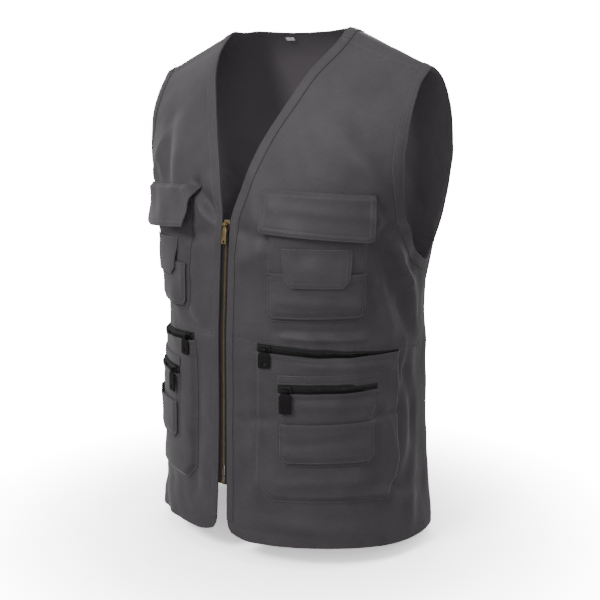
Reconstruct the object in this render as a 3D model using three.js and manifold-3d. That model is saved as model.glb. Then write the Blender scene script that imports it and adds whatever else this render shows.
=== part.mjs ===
// Utility work vest: sleeveless, V neck, metal front zip, layered cloth pockets on both fronts.
// Millimetres, +Z up. The front faces -Y and the wearer's left is +X. The origin lies midway
// between the two high points of the shoulders, where the vest sits on its wearer.
import * as THREE from "three";
import { mergeVertices } from "three/addons/utils/BufferGeometryUtils.js";
import Module from "manifold-3d";

const wasm = await Module();
wasm.setup();

// Body sizes
const bodyLength = 671; // high point of the shoulder down to the front hem
const armholeDepth = 304; // high point of the shoulder down to the foot of the armhole
const neckWidth = 188; // between the high points of the shoulders
const shoulderWidth = 446; // between the shoulder tips
const shoulderDrop = 57; // shoulder tip below the high point
const underarmWidth = 384; // across the body under the arms
const frontDepth = 141; // centre front under the arms, in front of the shoulder line
const backDepth = 150; // centre back under the arms, behind the shoulder line
const sideSetback = 30; // widest line of the body, behind the shoulder line
const backNeckDepth = 42; // back neck edge, behind the shoulder line
const hemDip = 13; // hem at the sides and back, below the front hem
const hemCornerRadius = 24; // rounded front corners of the hem

// Seams and cloth
const clothThickness = 1.2;
const layerGap = 0.35; // between one layer of cloth and the next
const seamGap = 0.4; // between two panels at a seam
const sideSeamGap = 1; // the same at the side seams
const seamForward = 22; // shoulder seam in front of the crest, at the neck
const seamForwardTip = 10; // the same at the shoulder tip
const sideSeamShare = 1.06; // side seam, as a share of the way from centre front to the side line
const waistDepth = 398; // waist seam at centre front, below the shoulder
const waistDip = 25; // waist seam at the side, below its height at centre front
const bandWidth = 14; // strip along the V neck and round the armholes
const bandThickness = 1;
const bandGap = 0.8; // between a strip and the panel under it
const armholeBandGap = 1.45; // the same round the armholes, where the cloth bends most

// Main zip
const zipGap = 13; // between the two front edges
const zipFoot = 600; // bottom stop, below the shoulder
const zipTop = 247; // top of the slider, below the shoulder
const tapeWidth = 10;
const tapeThickness = 0.7;
const chainWidth = 5.6;
const chainThickness = 2.6;
const toothPitch = 20;
const mainSliderLength = 13;
const mainSliderWidth = 10;
const mainTabLength = 25;
const mainTabWidth = 7.5;
const mainTabThickness = 1.6;

// Pockets: distances from centre front along the cloth, and depths below the shoulder
const pocketCloth = 1;
const pocketRise = 3.2; // how far an empty pocket stands off the cloth under it
const pocketRoll = 4; // width of the turned edge where a pocket comes down to its seam
const chestStart = 61;
const chestWidth = 135;
const chestTop = 216;
const chestBottom = 372;
const chestCorner = 10;
const chestFlapOverhang = 6; // flap beyond the pocket, on the centre front side
const chestFlapWidth = 141;
const chestFlapTop = 207;
const chestFlapHeight = 55;
const chestFlapFlare = 9; // how far the flap's free corner springs out
const flapClear = 1.8; // between the pocket and the flap over it
const slipTop = 309;
const smallFlapInset = 24;
const smallFlapWidth = 87;
const smallFlapTop = 278;
const smallFlapHeight = 49;
const smallFlapCorner = 10;
const bigStart = 49;
const bigWidth = 206;
const bigBottom = 610;
const bigCorner = 22;
const patchInset = 32;
const patchWidth = 131;
const patchTop = 440;
const patchBottom = 560;
const patchCorner = 11;
const patchBandHeight = 12;
const slipPocketTop = 503;

// Pocket zips
const coilTapeWidth = 12.4;
const coilTapeThickness = 0.9;
const coilWidth = 5.4;
const coilRise = 1.4;
const coilShoulder = 0.3;
const upperZipStart = 53;
const upperZipLength = 201;
const lowerZipLength = 129;
const pocketSliderLength = 15;
const pocketSliderWidth = 9.6;
const pocketSliderWall = 1.2;
const upperTabLength = 24;
const lowerTabLength = 30;
const pocketTabWidth = 16;
const pocketTabThickness = 2;
const pocketTabHole = 2.4;

// Pull hardware
const pinRadius = 0.9;
const pinClearance = 0.5;
const eyeWall = 1.2;

// Size label inside the back neck
const labelWidth = 14;
const labelHeight = 7;
const labelOffset = 35;
const labelDrop = 9;

// Body sections in order from the front hem over the shoulder to the back hem. Level counts
// 0 at the shoulder, 1 at the foot of the armhole and 2 at the hem. Centre is a share of the
// front depth, or of the back depth from the crest on; half, of half the underarm width; side,
// of the setback; neck, of the way from the zip to the high point. Round is the exponent of the
// section, slope how much of the shoulder's slope it has, and arm how far round the panel goes.
const crestStation = 14;
const sectionColumns = ["level", "centre", "half", "side", "round", "slope", "neck", "arm"];
const bodySections = [
  [2, 1.106, 1.047, 1.03, 2.15, 0, 0.03, 1.06],
  [1.861, 1.085, 1.013, 1.03, 2.15, 0, 0.017, 1.06],
  [1.698, 1.064, 0.984, 1.03, 2.15, 0, 0.006, 1.06],
  [1.48, 1.05, 0.966, 1.07, 2.15, 0, 0, 1.06],
  [1.262, 1.043, 0.964, 1.07, 2.15, 0, 0, 1.06],
  [1.123, 1.021, 0.969, 1.07, 2.2, 0, 0, 1.06],
  [1, 1, 1, 1, 2.25, 0, 0, 1.06],
  [0.836, 0.965, 1.057, 0.93, 2.3, 0, 0, 0.862],
  [0.671, 0.887, 1.125, 0.9, 2.35, 0.1, 0.131, 0.765],
  [0.507, 0.78, 1.198, 0.87, 2.4, 0.35, 0.31, 0.69],
  [0.342, 0.603, 1.266, 0.73, 2.4, 0.75, 0.566, 0.632],
  [0.211, 0.447, 1.333, 0.47, 2.4, 0.97, 0.777, 0.585],
  [0.112, 0.262, 1.396, 0.23, 2.4, 1, 0.937, 0.545],
  [0.046, 0.099, 1.438, 0.13, 2.4, 1, 0.994, 0.524],
  [0, 0.053, 1.458, 0.13, 2.4, 1, 1, 0.525],
  [0.007, 0.2, 1.438, 0.47, 2.4, 1.06, 1, 0.53],
  [0.02, 0.333, 1.396, 0.73, 2.4, 1.12, 1, 0.542],
  [0.125, 0.573, 1.333, 0.83, 2.4, 1.06, 1, 0.582],
  [0.322, 0.773, 1.26, 0.9, 2.35, 0.64, 1, 0.64],
  [0.559, 0.88, 1.198, 0.93, 2.3, 0.25, 1, 0.7],
  [0.786, 0.947, 1.115, 0.97, 2.3, 0, 1, 0.79],
  [1, 1, 1, 1, 2.25, 0, 1, 0.94],
  [1.123, 1.033, 0.969, 1.07, 2.2, 0, 1, 0.94],
  [1.262, 1.067, 0.964, 1.07, 2.15, 0, 1, 0.94],
  [1.48, 1.093, 0.966, 1.07, 2.15, 0, 1, 0.94],
  [1.698, 1.12, 0.984, 1.03, 2.15, 0, 1, 0.94],
  [1.861, 1.133, 1.013, 1.03, 2.15, 0, 1, 0.94],
  [2, 1.147, 1.047, 1.03, 2.15, 0, 1, 0.94],
];
const underarmStation = 6;
const backUnderarmStation = 21;
const lastStation = bodySections.length - 1;
const sideSeamBack = 2 - sideSeamShare;

const neckHalf = neckWidth / 2;
const zipHalf = zipGap / 2;

function levelHeight(level) {
  if (level <= 1) return -armholeDepth * level;
  return -armholeDepth - (bodyLength - armholeDepth) * (level - 1);
}

// The sections in millimetres, one array for each column
const sectionSize = {
  level: levelHeight,
  centre: (share, row) => share * (row < crestStation ? -frontDepth : backDepth),
  half: (share) => (share * underarmWidth) / 2,
  side: (share) => share * sideSetback,
  round: (value) => value,
  slope: (value) => value,
  neck: (share) => zipHalf + share * (neckHalf - zipHalf),
  arm: (value) => value,
};
const sections = Object.fromEntries(
  sectionColumns.map((name, column) => [
    name,
    bodySections.map((row, index) => sectionSize[name](row[column], index)),
  ]),
);

// Slopes for a smooth curve through the rows of a column that never overshoots them
function columnSlopes(values) {
  return values.map((value, i) => {
    if (i === 0) return values[1] - value;
    if (i === values.length - 1) return value - values[i - 1];
    const before = value - values[i - 1];
    const after = values[i + 1] - value;
    if (before * after <= 0) return 0;
    const limit = 3 * Math.min(Math.abs(before), Math.abs(after));
    return THREE.MathUtils.clamp((before + after) / 2, -limit, limit);
  });
}
const slopes = Object.fromEntries(
  sectionColumns.map((name) => [name, columnSlopes(sections[name])]),
);

function section(name, station) {
  const i = THREE.MathUtils.clamp(Math.floor(station), 0, lastStation - 1);
  const t = station - i;
  const values = sections[name];
  const slope = slopes[name];
  const blend = t * t * (3 - 2 * t);
  const start = slope[i] * t * (1 - t) * (1 - t);
  const end = slope[i + 1] * t * t * (t - 1);
  return values[i] * (1 - blend) + values[i + 1] * blend + start + end;
}

// The shoulder line falls from the neck to the tip, with a soft knee beside the neck
function shoulderFall(x) {
  const knee = 0.1;
  const lead = 0.14;
  const run = (shoulderWidth - neckWidth) / 2;
  const along = Math.max(0, (Math.abs(x) - neckHalf) / run + lead);
  return shoulderDrop * (Math.hypot(along, knee) - knee);
}

// The hem hangs lower towards the sides and across the back
function hemFall(station, turn, height) {
  const start = levelHeight(1.5);
  const low = THREE.MathUtils.clamp((start - height) / (start + bodyLength), 0, 1);
  const round = station > crestStation ? 1 : Math.sin((Math.min(turn, 1) * Math.PI) / 2) ** 6;
  return hemDip * low * round;
}

// The station at a height on the front or the back
function stationAt(height, back) {
  let low = back ? crestStation : 0;
  let high = back ? lastStation : crestStation;
  for (let i = 0; i < 40; i += 1) {
    const middle = (low + high) / 2;
    const below = section("level", middle) < height;
    if (below === back) high = middle;
    else low = middle;
  }
  return (low + high) / 2;
}

// A point of the body's outer surface on the wearer's left: turn is 0 at the centre and 1 at the
// widest line, and past 1 it goes on round the side at the same height.
function bodyPoint(station, turn) {
  if (turn > 1) {
    const height = section("level", station);
    return bodyPoint(stationAt(height, station <= crestStation), 2 - turn);
  }
  const angle = (turn * Math.PI) / 2;
  const power = 2 / section("round", station);
  const side = section("side", station);
  const centre = section("centre", station);
  const x = section("half", station) * Math.sign(angle) * Math.abs(Math.sin(angle)) ** power;
  const y = side + (centre - side) * Math.cos(angle) ** power;
  const height = section("level", station);
  const z = height - section("slope", station) * shoulderFall(x) - hemFall(station, turn, height);
  return new THREE.Vector3(x, y, z);
}

function bodyNormal(station, turn) {
  const step = 0.002;
  const up = bodyPoint(station + step, turn).sub(bodyPoint(station - step, turn));
  const round = bodyPoint(station, turn + step).sub(bodyPoint(station, turn - step));
  return round.cross(up).normalize();
}

function liftedPoint(station, turn, lift) {
  const inside = Math.min(turn, 1.5);
  return bodyPoint(station, inside).addScaledVector(bodyNormal(station, inside), lift);
}

function turnAtX(station, x) {
  const share = Math.min(1, Math.abs(x) / section("half", station));
  const turn = (Math.asin(share ** (section("round", station) / 2)) * 2) / Math.PI;
  return Math.sign(x) * turn;
}

// Distances along the cloth from centre front at a station, and the turn at such a distance
const arcSteps = 44;
const arcReach = 1.32;
const arcTables = new Map();
function arcTable(station) {
  const key = station.toFixed(4);
  if (arcTables.has(key)) return arcTables.get(key);
  const table = [0];
  let last = bodyPoint(station, 0);
  for (let i = 1; i <= arcSteps; i += 1) {
    const next = bodyPoint(station, (arcReach * i) / arcSteps);
    table.push(table[i - 1] + next.distanceTo(last));
    last = next;
  }
  arcTables.set(key, table);
  return table;
}

function arcAt(station, turn) {
  const table = arcTable(station);
  const place = THREE.MathUtils.clamp((turn / arcReach) * arcSteps, 0, arcSteps - 0.001);
  const i = Math.floor(place);
  return table[i] + (table[i + 1] - table[i]) * (place - i);
}

function turnAtArc(station, distance) {
  const table = arcTable(station);
  let i = 0;
  while (i < arcSteps - 1 && table[i + 1] < distance) i += 1;
  const share = (distance - table[i]) / (table[i + 1] - table[i]);
  return ((i + share) * arcReach) / arcSteps;
}

// The armhole's edge: steep just above the side seam, so that its foot is round
function armTurn(station) {
  const foot = 0.6;
  if (station <= underarmStation || station >= backUnderarmStation) return section("arm", station);
  if (station < underarmStation + 1) {
    const top = section("arm", underarmStation + 1);
    return sideSeamShare + (top - sideSeamShare) * (station - underarmStation) ** foot;
  }
  if (station > backUnderarmStation - 1) {
    const top = section("arm", backUnderarmStation - 1);
    return sideSeamBack + (top - sideSeamBack) * (backUnderarmStation - station) ** foot;
  }
  return section("arm", station);
}

// Closed solids from a grid of points with an outer and an inner face. Cells left out by the mask
// leave an opening, and every free edge gets a wall.
function shellGeometry(rows, columns, point, { loop = false, mask = () => true } = {}) {
  const rowCount = loop ? rows : rows + 1;
  const stride = columns + 1;
  const used = new Map();
  const positions = [];
  const vertex = (r, c, inner) => {
    const key = ((r % rowCount) * stride + c) * 2 + inner;
    if (!used.has(key)) {
      const p = point(r % rowCount, c, inner === 1);
      used.set(key, positions.length / 3);
      positions.push(p.x, p.y, p.z);
    }
    return used.get(key);
  };
  const index = [];
  const edges = new Map();
  const at = (i) => new THREE.Vector3().fromArray(positions, i * 3);
  for (let r = 0; r < rows; r += 1) {
    for (let c = 0; c < columns; c += 1) {
      if (!mask(r, c)) continue;
      const corners = [[r, c], [r, c + 1], [r + 1, c + 1], [r + 1, c]];
      const outer = corners.map(([i, j]) => vertex(i, j, 0));
      const inner = corners.map(([i, j]) => vertex(i, j, 1));
      const [a, b, d, e] = outer.map(at);
      const first = a.distanceTo(d) <= b.distanceTo(e) ? 0 : 1;
      const [p, q, s, t] = [0, 1, 2, 3].map((k) => (k + first) % 4);
      index.push(outer[p], outer[q], outer[s], outer[p], outer[s], outer[t]);
      index.push(inner[p], inner[s], inner[q], inner[p], inner[t], inner[s]);
      for (let k = 0; k < 4; k += 1) {
        const [from, to] = [outer[k], outer[(k + 1) % 4]];
        const back = to + "," + from;
        if (edges.has(back)) edges.delete(back);
        else edges.set(from + "," + to, [from, to, inner[k], inner[(k + 1) % 4]]);
      }
    }
  }
  for (const [from, to, innerFrom, innerTo] of edges.values()) {
    index.push(from, innerFrom, innerTo, from, innerTo, to);
  }
  const geometry = new THREE.BufferGeometry();
  geometry.setAttribute("position", new THREE.Float32BufferAttribute(positions, 3));
  geometry.setIndex(index);
  return facingOut(geometry);
}

function signedVolume(geometry) {
  const index = geometry.index.array;
  const corner = (i) => new THREE.Vector3().fromBufferAttribute(geometry.attributes.position, i);
  let volume = 0;
  for (let i = 0; i < index.length; i += 3) {
    volume += corner(index[i]).dot(corner(index[i + 1]).cross(corner(index[i + 2])));
  }
  return volume / 6;
}

function facingOut(geometry) {
  if (signedVolume(geometry) < 0) {
    const index = geometry.index.array;
    for (let i = 0; i < index.length; i += 3) {
      [index[i + 1], index[i + 2]] = [index[i + 2], index[i + 1]];
    }
  }
  geometry.computeVertexNormals();
  return geometry;
}

// The same piece on the wearer's right
function mirrored(geometry) {
  const copy = geometry.clone();
  copy.scale(-1, 1, 1);
  return facingOut(copy);
}

// Materials
const cloth = { color: 0x38383b, roughness: 0.9, metalness: 0 };
const tapeFinish = { color: 0x151517, roughness: 0.8, metalness: 0 };
const brass = { color: 0x8d7a52, roughness: 0.35, metalness: 1 };
const blackMetal = { color: 0x1a1a1c, roughness: 0.4, metalness: 0.6 };
const blackPlastic = { color: 0x17171a, roughness: 0.5, metalness: 0 };
const labelFinish = { color: 0xe8e8e6, roughness: 0.8, metalness: 0 };

const vest = new THREE.Group();
const sides = { left: new THREE.Group(), right: new THREE.Group() };
vest.add(sides.left, sides.right);

function place(group, name, geometry, finish) {
  const mesh = new THREE.Mesh(geometry, new THREE.MeshStandardMaterial(finish));
  mesh.name = name;
  group.add(mesh);
  return mesh;
}

function placePair(name, geometry, finish) {
  place(sides.left, name + "_left", geometry, finish);
  place(sides.right, name + "_right", mirrored(geometry), finish);
}

// Seams that panels share
function waistHeight(turn) {
  return -waistDepth - waistDip * (turn / sideSeamShare) ** 1.3;
}

// Shoulder seam: the station that lies a given way in front of the crest
function shoulderSeamStation(share, gap) {
  const forward = THREE.MathUtils.lerp(seamForward, seamForwardTip, share ** 2) + gap;
  const target = section("centre", crestStation) - forward;
  let low = crestStation - 3;
  let high = crestStation;
  for (let i = 0; i < 40; i += 1) {
    const middle = (low + high) / 2;
    if (section("centre", middle) > target) high = middle;
    else low = middle;
  }
  return (low + high) / 2;
}

const seamTurnGap = sideSeamGap / 2 / (arcAt(underarmStation, 1.2) / 1.2);
function neckTurn(station) {
  return turnAtX(station, section("neck", station));
}

function cornerRise(distance) {
  const inside = Math.max(0, hemCornerRadius - distance);
  return hemCornerRadius - Math.sqrt(hemCornerRadius ** 2 - inside ** 2);
}

// Front panels. Each row runs from the front or neck edge to the side seam or armhole.
function frontUpperPoint(rows, columns) {
  return (r, c, inner) => {
    const across = c / columns;
    const start = stationAt(waistHeight(across * sideSeamShare) + seamGap / 2, false);
    const end = shoulderSeamStation(across, seamGap / 2);
    const station = THREE.MathUtils.lerp(start, end, r / rows);
    const from = neckTurn(station);
    const to = armTurn(station) - (station < underarmStation + 0.01 ? seamTurnGap : 0);
    const turn = THREE.MathUtils.lerp(from, to, across);
    return liftedPoint(station, turn, inner ? -clothThickness : 0);
  };
}
const upperRows = 14;
const upperColumns = 12;
placePair(
  "front_upper",
  shellGeometry(upperRows, upperColumns, frontUpperPoint(upperRows, upperColumns)),
  cloth,
);

const cornerShare = 1 - Math.SQRT1_2;
function frontLowerPoint(rows, columns) {
  return (r, c, inner) => {
    const across = THREE.MathUtils.lerp(c / columns, (c / columns) ** 2, 0.5);
    const hemArc = arcAt(0, sideSeamShare);
    const edge = section("neck", 0) + cornerShare * hemCornerRadius * (1 - across) ** 6;
    const distance = edge - section("neck", 0) + across * (hemArc - edge);
    const bottom = -bodyLength + cornerRise(distance);
    const top = waistHeight(across * sideSeamShare) - seamGap / 2;
    const height = THREE.MathUtils.lerp(bottom, top, (r / rows) ** 1.15);
    const station = stationAt(height, false);
    const from = section("neck", station) + cornerRise(height + bodyLength);
    const to = arcAt(station, sideSeamShare - seamTurnGap);
    const turn = turnAtArc(station, THREE.MathUtils.lerp(from, to, across));
    return liftedPoint(station, turn, inner ? -clothThickness : 0);
  };
}
const lowerRows = 8;
const lowerColumns = 17;
placePair(
  "front_lower",
  shellGeometry(lowerRows, lowerColumns, frontLowerPoint(lowerRows, lowerColumns)),
  cloth,
);

// Back panel. It carries on over each shoulder to the shoulder seam in front of the crest, on
// either side of the neck opening.
const neckStation = stationAtBackNeck();
const neckCurve = 2.6;
const neckCornerShare = 0.7;
const backSide = 10;
const neckSide = 4;
const backRows = [27, 26, 25, 23.7, 22.3, 21, 20.7, 20.3, 19.6, 18.9, 18.1, 17.4, 16.8, 16.35];
const strapRows = 5;
const neckRow = backRows.length;

function stationAtBackNeck() {
  let low = crestStation;
  let high = backUnderarmStation;
  for (let i = 0; i < 40; i += 1) {
    const middle = (low + high) / 2;
    if (section("centre", middle) > section("centre", crestStation) + backNeckDepth) high = middle;
    else low = middle;
  }
  return (low + high) / 2;
}

function neckEdgeStation(x) {
  const share = (1 - Math.min(1, x / neckHalf) ** neckCurve) ** (1 / neckCurve);
  return crestStation + (neckStation - crestStation) * share;
}

function neckEdgeX(station) {
  if (station <= crestStation) return section("neck", station);
  const share = Math.min(1, (station - crestStation) / (neckStation - crestStation));
  return neckHalf * (1 - share ** neckCurve) ** (1 / neckCurve);
}

function backPoint(row, column, inner) {
  const c = Math.abs(column - backSide);
  const side = Math.sign(column - backSide);
  const neckX = neckHalf * neckCornerShare;
  const cornerStation = neckEdgeStation(neckX);
  let station;
  let turn;
  if (row < neckRow) {
    station = backRows[row];
    const limit = armTurn(station);
    const to = station >= backUnderarmStation ? limit - seamTurnGap : limit;
    const even = c / backSide;
    const neckShare = turnAtX(station, neckX) / to;
    const fitted = c <= neckSide
      ? (c / neckSide) * neckShare
      : neckShare + ((1 - neckShare) * (c - neckSide)) / (backSide - neckSide);
    const near = THREE.MathUtils.smoothstep(-station, -backUnderarmStation, -17);
    turn = to * THREE.MathUtils.lerp(even, fitted, near);
  } else if (row === neckRow && c <= neckSide) {
    const x = (neckX * c) / neckSide;
    station = neckEdgeStation(x);
    turn = turnAtX(station, x);
  } else {
    const across = (c - neckSide) / (backSide - neckSide);
    const end = shoulderSeamStation(across, -seamGap / 2);
    const share = (row - neckRow) / strapRows;
    station = THREE.MathUtils.lerp(cornerStation, end, share);
    turn = THREE.MathUtils.lerp(turnAtX(station, neckEdgeX(station)), armTurn(station), across);
  }
  const p = liftedPoint(station, turn, inner ? -clothThickness : 0);
  return c === 0 ? p.setX(0) : p.setX(p.x * side);
}
place(
  vest,
  "back_panel",
  shellGeometry(neckRow + strapRows, 2 * backSide, backPoint, {
    mask: (r, c) => r < neckRow || c < backSide - neckSide || c >= backSide + neckSide,
  }),
  cloth,
);

// A strip that follows an edge of the body: the edge is a list of stations and turns, and the
// strip reaches from it into the cloth.
function stripPoint(edge, width, lift, thickness, inward, loop) {
  const at = (i) => {
    const count = edge.length;
    const k = loop ? (i + count) % count : THREE.MathUtils.clamp(i, 0, count - 1);
    return bodyPoint(...edge[k]);
  };
  return (r, c, inner) => {
    const [station, turn] = edge[r];
    const along = at(r + 1).sub(at(r - 1)).normalize();
    const across = bodyNormal(station, turn).cross(along).multiplyScalar(inward);
    const target = bodyPoint(station, turn).addScaledVector(across, c === 1 ? width(r) : 0);
    const [s, t] = c === 1 ? nearest(station, turn, target) : [station, turn];
    return liftedPoint(s, t, lift + (inner ? 0 : thickness));
  };
}

// The station and turn of the surface point nearest to a target close by
function nearest(station, turn, target) {
  const step = 0.002;
  let s = station;
  let t = turn;
  for (let i = 0; i < 6; i += 1) {
    const here = bodyPoint(s, t);
    const byStation = bodyPoint(s + step, t).sub(here).divideScalar(step);
    const byTurn = bodyPoint(s, t + step).sub(here).divideScalar(step);
    const away = target.clone().sub(here);
    const a = byStation.dot(byStation);
    const b = byStation.dot(byTurn);
    const d = byTurn.dot(byTurn);
    const p = byStation.dot(away);
    const q = byTurn.dot(away);
    const divisor = a * d - b * b;
    s += (p * d - q * b) / divisor;
    t += (q * a - p * b) / divisor;
  }
  return [s, t];
}

// Front strips: along the V neck and down the front edge to the hem
const frontStripSteps = 24;
const frontStripLow = stationAt(-bodyLength + hemCornerRadius, false);
const frontStrip = Array.from({ length: frontStripSteps + 1 }, (_, i) => {
  const share = i / frontStripSteps;
  const end = shoulderSeamStation(0, seamGap / 2);
  const station = THREE.MathUtils.lerp(frontStripLow, end, share);
  return [station, neckTurn(station)];
});
const edgeBandWidth = 10.5; // front strip beside the zip
const stripWidth = (r) => {
  const open = THREE.MathUtils.smoothstep(frontStrip[r][0], underarmStation, underarmStation + 2);
  return THREE.MathUtils.lerp(edgeBandWidth, bandWidth, open);
};
placePair(
  "front_band",
  shellGeometry(
    frontStripSteps,
    1,
    stripPoint(frontStrip, stripWidth, bandGap, bandThickness, -1, false),
  ),
  cloth,
);

// Back neck strip, from one shoulder seam round the back neck to the other
const backNeckSteps = 12;
const overShoulderSteps = 2;
const backNeckStrip = [];
for (let i = -backNeckSteps / 2 - overShoulderSteps; i <= backNeckSteps / 2 + overShoulderSteps; i += 1) {
  const beyond = Math.max(0, Math.abs(i) - backNeckSteps / 2) / overShoulderSteps;
  const angle = (Math.min(1, (2 * Math.abs(i)) / backNeckSteps) * Math.PI) / 2;
  const seam = shoulderSeamStation(0, -seamGap / 2);
  const x = neckHalf * Math.sin(angle) ** (2 / neckCurve);
  const station = beyond > 0 || angle === Math.PI / 2
    ? THREE.MathUtils.lerp(crestStation, seam, beyond)
    : neckEdgeStation(x);
  const edge = beyond > 0 ? neckEdgeX(station) : x;
  backNeckStrip.push([station, turnAtX(station, Math.sign(i) * edge)]);
}
place(
  vest,
  "back_neck_band",
  shellGeometry(
    backNeckStrip.length - 1,
    1,
    stripPoint(backNeckStrip, () => bandWidth, bandGap, bandThickness, 1, false),
  ),
  cloth,
);

// Armhole strips
const armholeHalfSteps = 16;
const armholeEdge = [
  ...Array.from({ length: armholeHalfSteps }, (_, i) => {
    const share = (i / armholeHalfSteps) ** 1.4;
    const station = THREE.MathUtils.lerp(underarmStation, crestStation, share);
    return [station, armTurn(station)];
  }),
  ...Array.from({ length: armholeHalfSteps }, (_, i) => {
    const share = 1 - (1 - i / armholeHalfSteps) ** 1.4;
    const station = THREE.MathUtils.lerp(crestStation, backUnderarmStation, share);
    return [station, armTurn(station)];
  }),
];
placePair(
  "armhole_band",
  shellGeometry(
    armholeEdge.length,
    1,
    stripPoint(armholeEdge, () => bandWidth, armholeBandGap, bandThickness, 1, true),
    { loop: true },
  ),
  cloth,
);

// Pockets and flaps. A patch is a grid of distances from centre front and of depths, lifted off
// the cloth under it by a function of both.
function frontPoint(distance, height, lift) {
  const station = stationAt(height, false);
  return liftedPoint(station, turnAtArc(station, distance), lift);
}

// Grid places from 0 to a length: close beside the ends, even between them
function places(length, ends, steps) {
  const [first, last] = ends;
  const middle = Array.from({ length: steps + 1 }, (_, i) =>
    THREE.MathUtils.lerp(first.at(-1) ?? 0, length - (last.at(-1) ?? 0), i / steps),
  );
  const lead = first.slice(0, -1);
  const tail = last.slice(0, -1).map((d) => length - d).reverse();
  return [...(first.length ? [0, ...lead] : []), ...middle, ...tail, ...(last.length ? [length] : [])];
}

function patchGeometry({ start, width, bottom, height, corner, across, up, lift, thickness }) {
  return shellGeometry(up.length - 1, across.length - 1, (r, c, inner) => {
    const s = across[c];
    const cut = Math.max(0, corner - Math.min(s, width - s));
    const rise = up[r];
    const depth = bottom(s) + cut + (rise / height) * (height - cut);
    const value = lift(s, rise, Math.min(s, width - s, rise));
    return frontPoint(start + s, depth, value - (inner ? thickness : 0));
  });
}

// How far a pocket's outer face stands off, from its sewn edge to its middle
function pocketLift(base, rise, edge) {
  const roll = THREE.MathUtils.smoothstep(edge, 0, pocketRoll);
  return base + layerGap + pocketCloth + rise * roll;
}

// Chest pocket
const chestHeight = chestBottom - chestTop;
const chestLift = (edge) => pocketLift(0, pocketRise, edge);
placePair(
  "chest_pocket",
  patchGeometry({
    start: chestStart,
    width: chestWidth,
    bottom: () => -chestBottom,
    height: chestHeight,
    corner: chestCorner,
    across: places(chestWidth, [[pocketRoll, chestCorner], [pocketRoll, chestCorner]], 5),
    up: places(chestHeight, [[pocketRoll], []], 5),
    lift: (s, rise, edge) => chestLift(edge),
    thickness: pocketCloth,
  }),
  cloth,
);

// Slip pocket on the lower part of the chest pocket, set just inside its edge
const slipInset = pocketRoll + 1;
const slipWidth = chestWidth - 2 * slipInset;
const slipHeight = chestBottom - slipInset - slipTop;
const slipRise = 1.6;
const slipBase = chestLift(pocketRoll);
placePair(
  "chest_slip_pocket",
  patchGeometry({
    start: chestStart + slipInset,
    width: slipWidth,
    bottom: () => -chestBottom + slipInset,
    height: slipHeight,
    corner: chestCorner * 0.8,
    across: places(slipWidth, [[pocketRoll, chestCorner], [pocketRoll, chestCorner]], 5),
    up: places(slipHeight, [[pocketRoll], []], 2),
    lift: (s, rise, edge) => pocketLift(slipBase, slipRise, edge),
    thickness: pocketCloth,
  }),
  cloth,
);

// Small flap over the slip pocket's mouth
const smallFlapBase = pocketLift(slipBase, slipRise, pocketRoll);
placePair(
  "small_flap",
  patchGeometry({
    start: chestStart + smallFlapInset,
    width: smallFlapWidth,
    bottom: () => -smallFlapTop - smallFlapHeight,
    height: smallFlapHeight,
    corner: smallFlapCorner,
    across: places(smallFlapWidth, [[smallFlapCorner], [smallFlapCorner]], 5),
    up: places(smallFlapHeight, [[], [pocketRoll]], 3),
    lift: (s, rise) => {
      const clear = slipTop - smallFlapTop;
      const onPocket = THREE.MathUtils.smoothstep(smallFlapHeight - rise, pocketRoll, clear - 4);
      const base = THREE.MathUtils.lerp(slipBase, smallFlapBase, onPocket);
      return base + layerGap + pocketCloth;
    },
    thickness: pocketCloth,
  }),
  cloth,
);

// Chest flap: sewn along its top, free below, its outer lower corner sprung out
const flapStart = chestStart - chestFlapOverhang;
const flapThickness = 2 * pocketCloth; // two layers of cloth
const flapFold = 1 - (chestTop - chestFlapTop - 2) / chestFlapHeight;
const flapBase = chestLift(pocketRoll) + flapClear + flapThickness;
placePair(
  "chest_flap",
  patchGeometry({
    start: flapStart,
    width: chestFlapWidth,
    bottom: (s) => -chestFlapTop - chestFlapHeight - (4 * s) / chestFlapWidth,
    height: chestFlapHeight,
    corner: 0,
    across: places(chestFlapWidth, [[], []], 8),
    up: [0, 0.2, 0.4, 0.6, flapFold, 1].map((share) => share * chestFlapHeight),
    lift: (s, rise) => {
      const down = 1 - rise / chestFlapHeight;
      const onPocket = THREE.MathUtils.smoothstep(down, 0, 1 - flapFold);
      const sewn = layerGap + flapThickness;
      const spring = chestFlapFlare * down ** 1.5 * (0.45 + (0.55 * s) / chestFlapWidth);
      return THREE.MathUtils.lerp(sewn, flapBase, onPocket) + spring;
    },
    thickness: flapThickness,
  }),
  cloth,
);

// Zip strips: two tapes with a raised coil between them, along a line on the front
function coilZipGeometry({ start, length, middle, width, base, steps }) {
  const offsets = (share) => {
    const coil = Math.min(coilWidth / 2, width(share) * 0.3);
    const half = [coil, coil + coilShoulder, width(share) / 2];
    return [-half[2], -half[1], -half[0], half[0], half[1], half[2]];
  };
  return shellGeometry(5, steps, (r, c, inner) => {
    const share = c / steps;
    const s = start + length * share;
    const rise = r === 2 || r === 3 ? coilRise : 0;
    const lift = base + layerGap + (inner ? 0 : coilTapeThickness + rise);
    return frontPoint(s, middle(s) + offsets(share)[r], lift);
  });
}

function waistHeightAt(distance) {
  const turn = turnAtArc(stationAt(-waistDepth, false), distance);
  return waistHeight(turn);
}
const upperZipWidth = (share) => coilTapeWidth * (1 - 0.45 * THREE.MathUtils.smoothstep(share, 0.5, 1));
const upperZipGap = layerGap + seamGap / 2;
const upperZipMiddle = (s) => {
  const share = (s - upperZipStart) / upperZipLength;
  return waistHeightAt(s) - upperZipGap - upperZipWidth(THREE.MathUtils.clamp(share, 0, 1)) / 2;
};
placePair(
  "upper_zip",
  coilZipGeometry({
    start: upperZipStart,
    length: upperZipLength,
    middle: upperZipMiddle,
    width: upperZipWidth,
    base: 0,
    steps: 11,
  }),
  tapeFinish,
);

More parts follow.
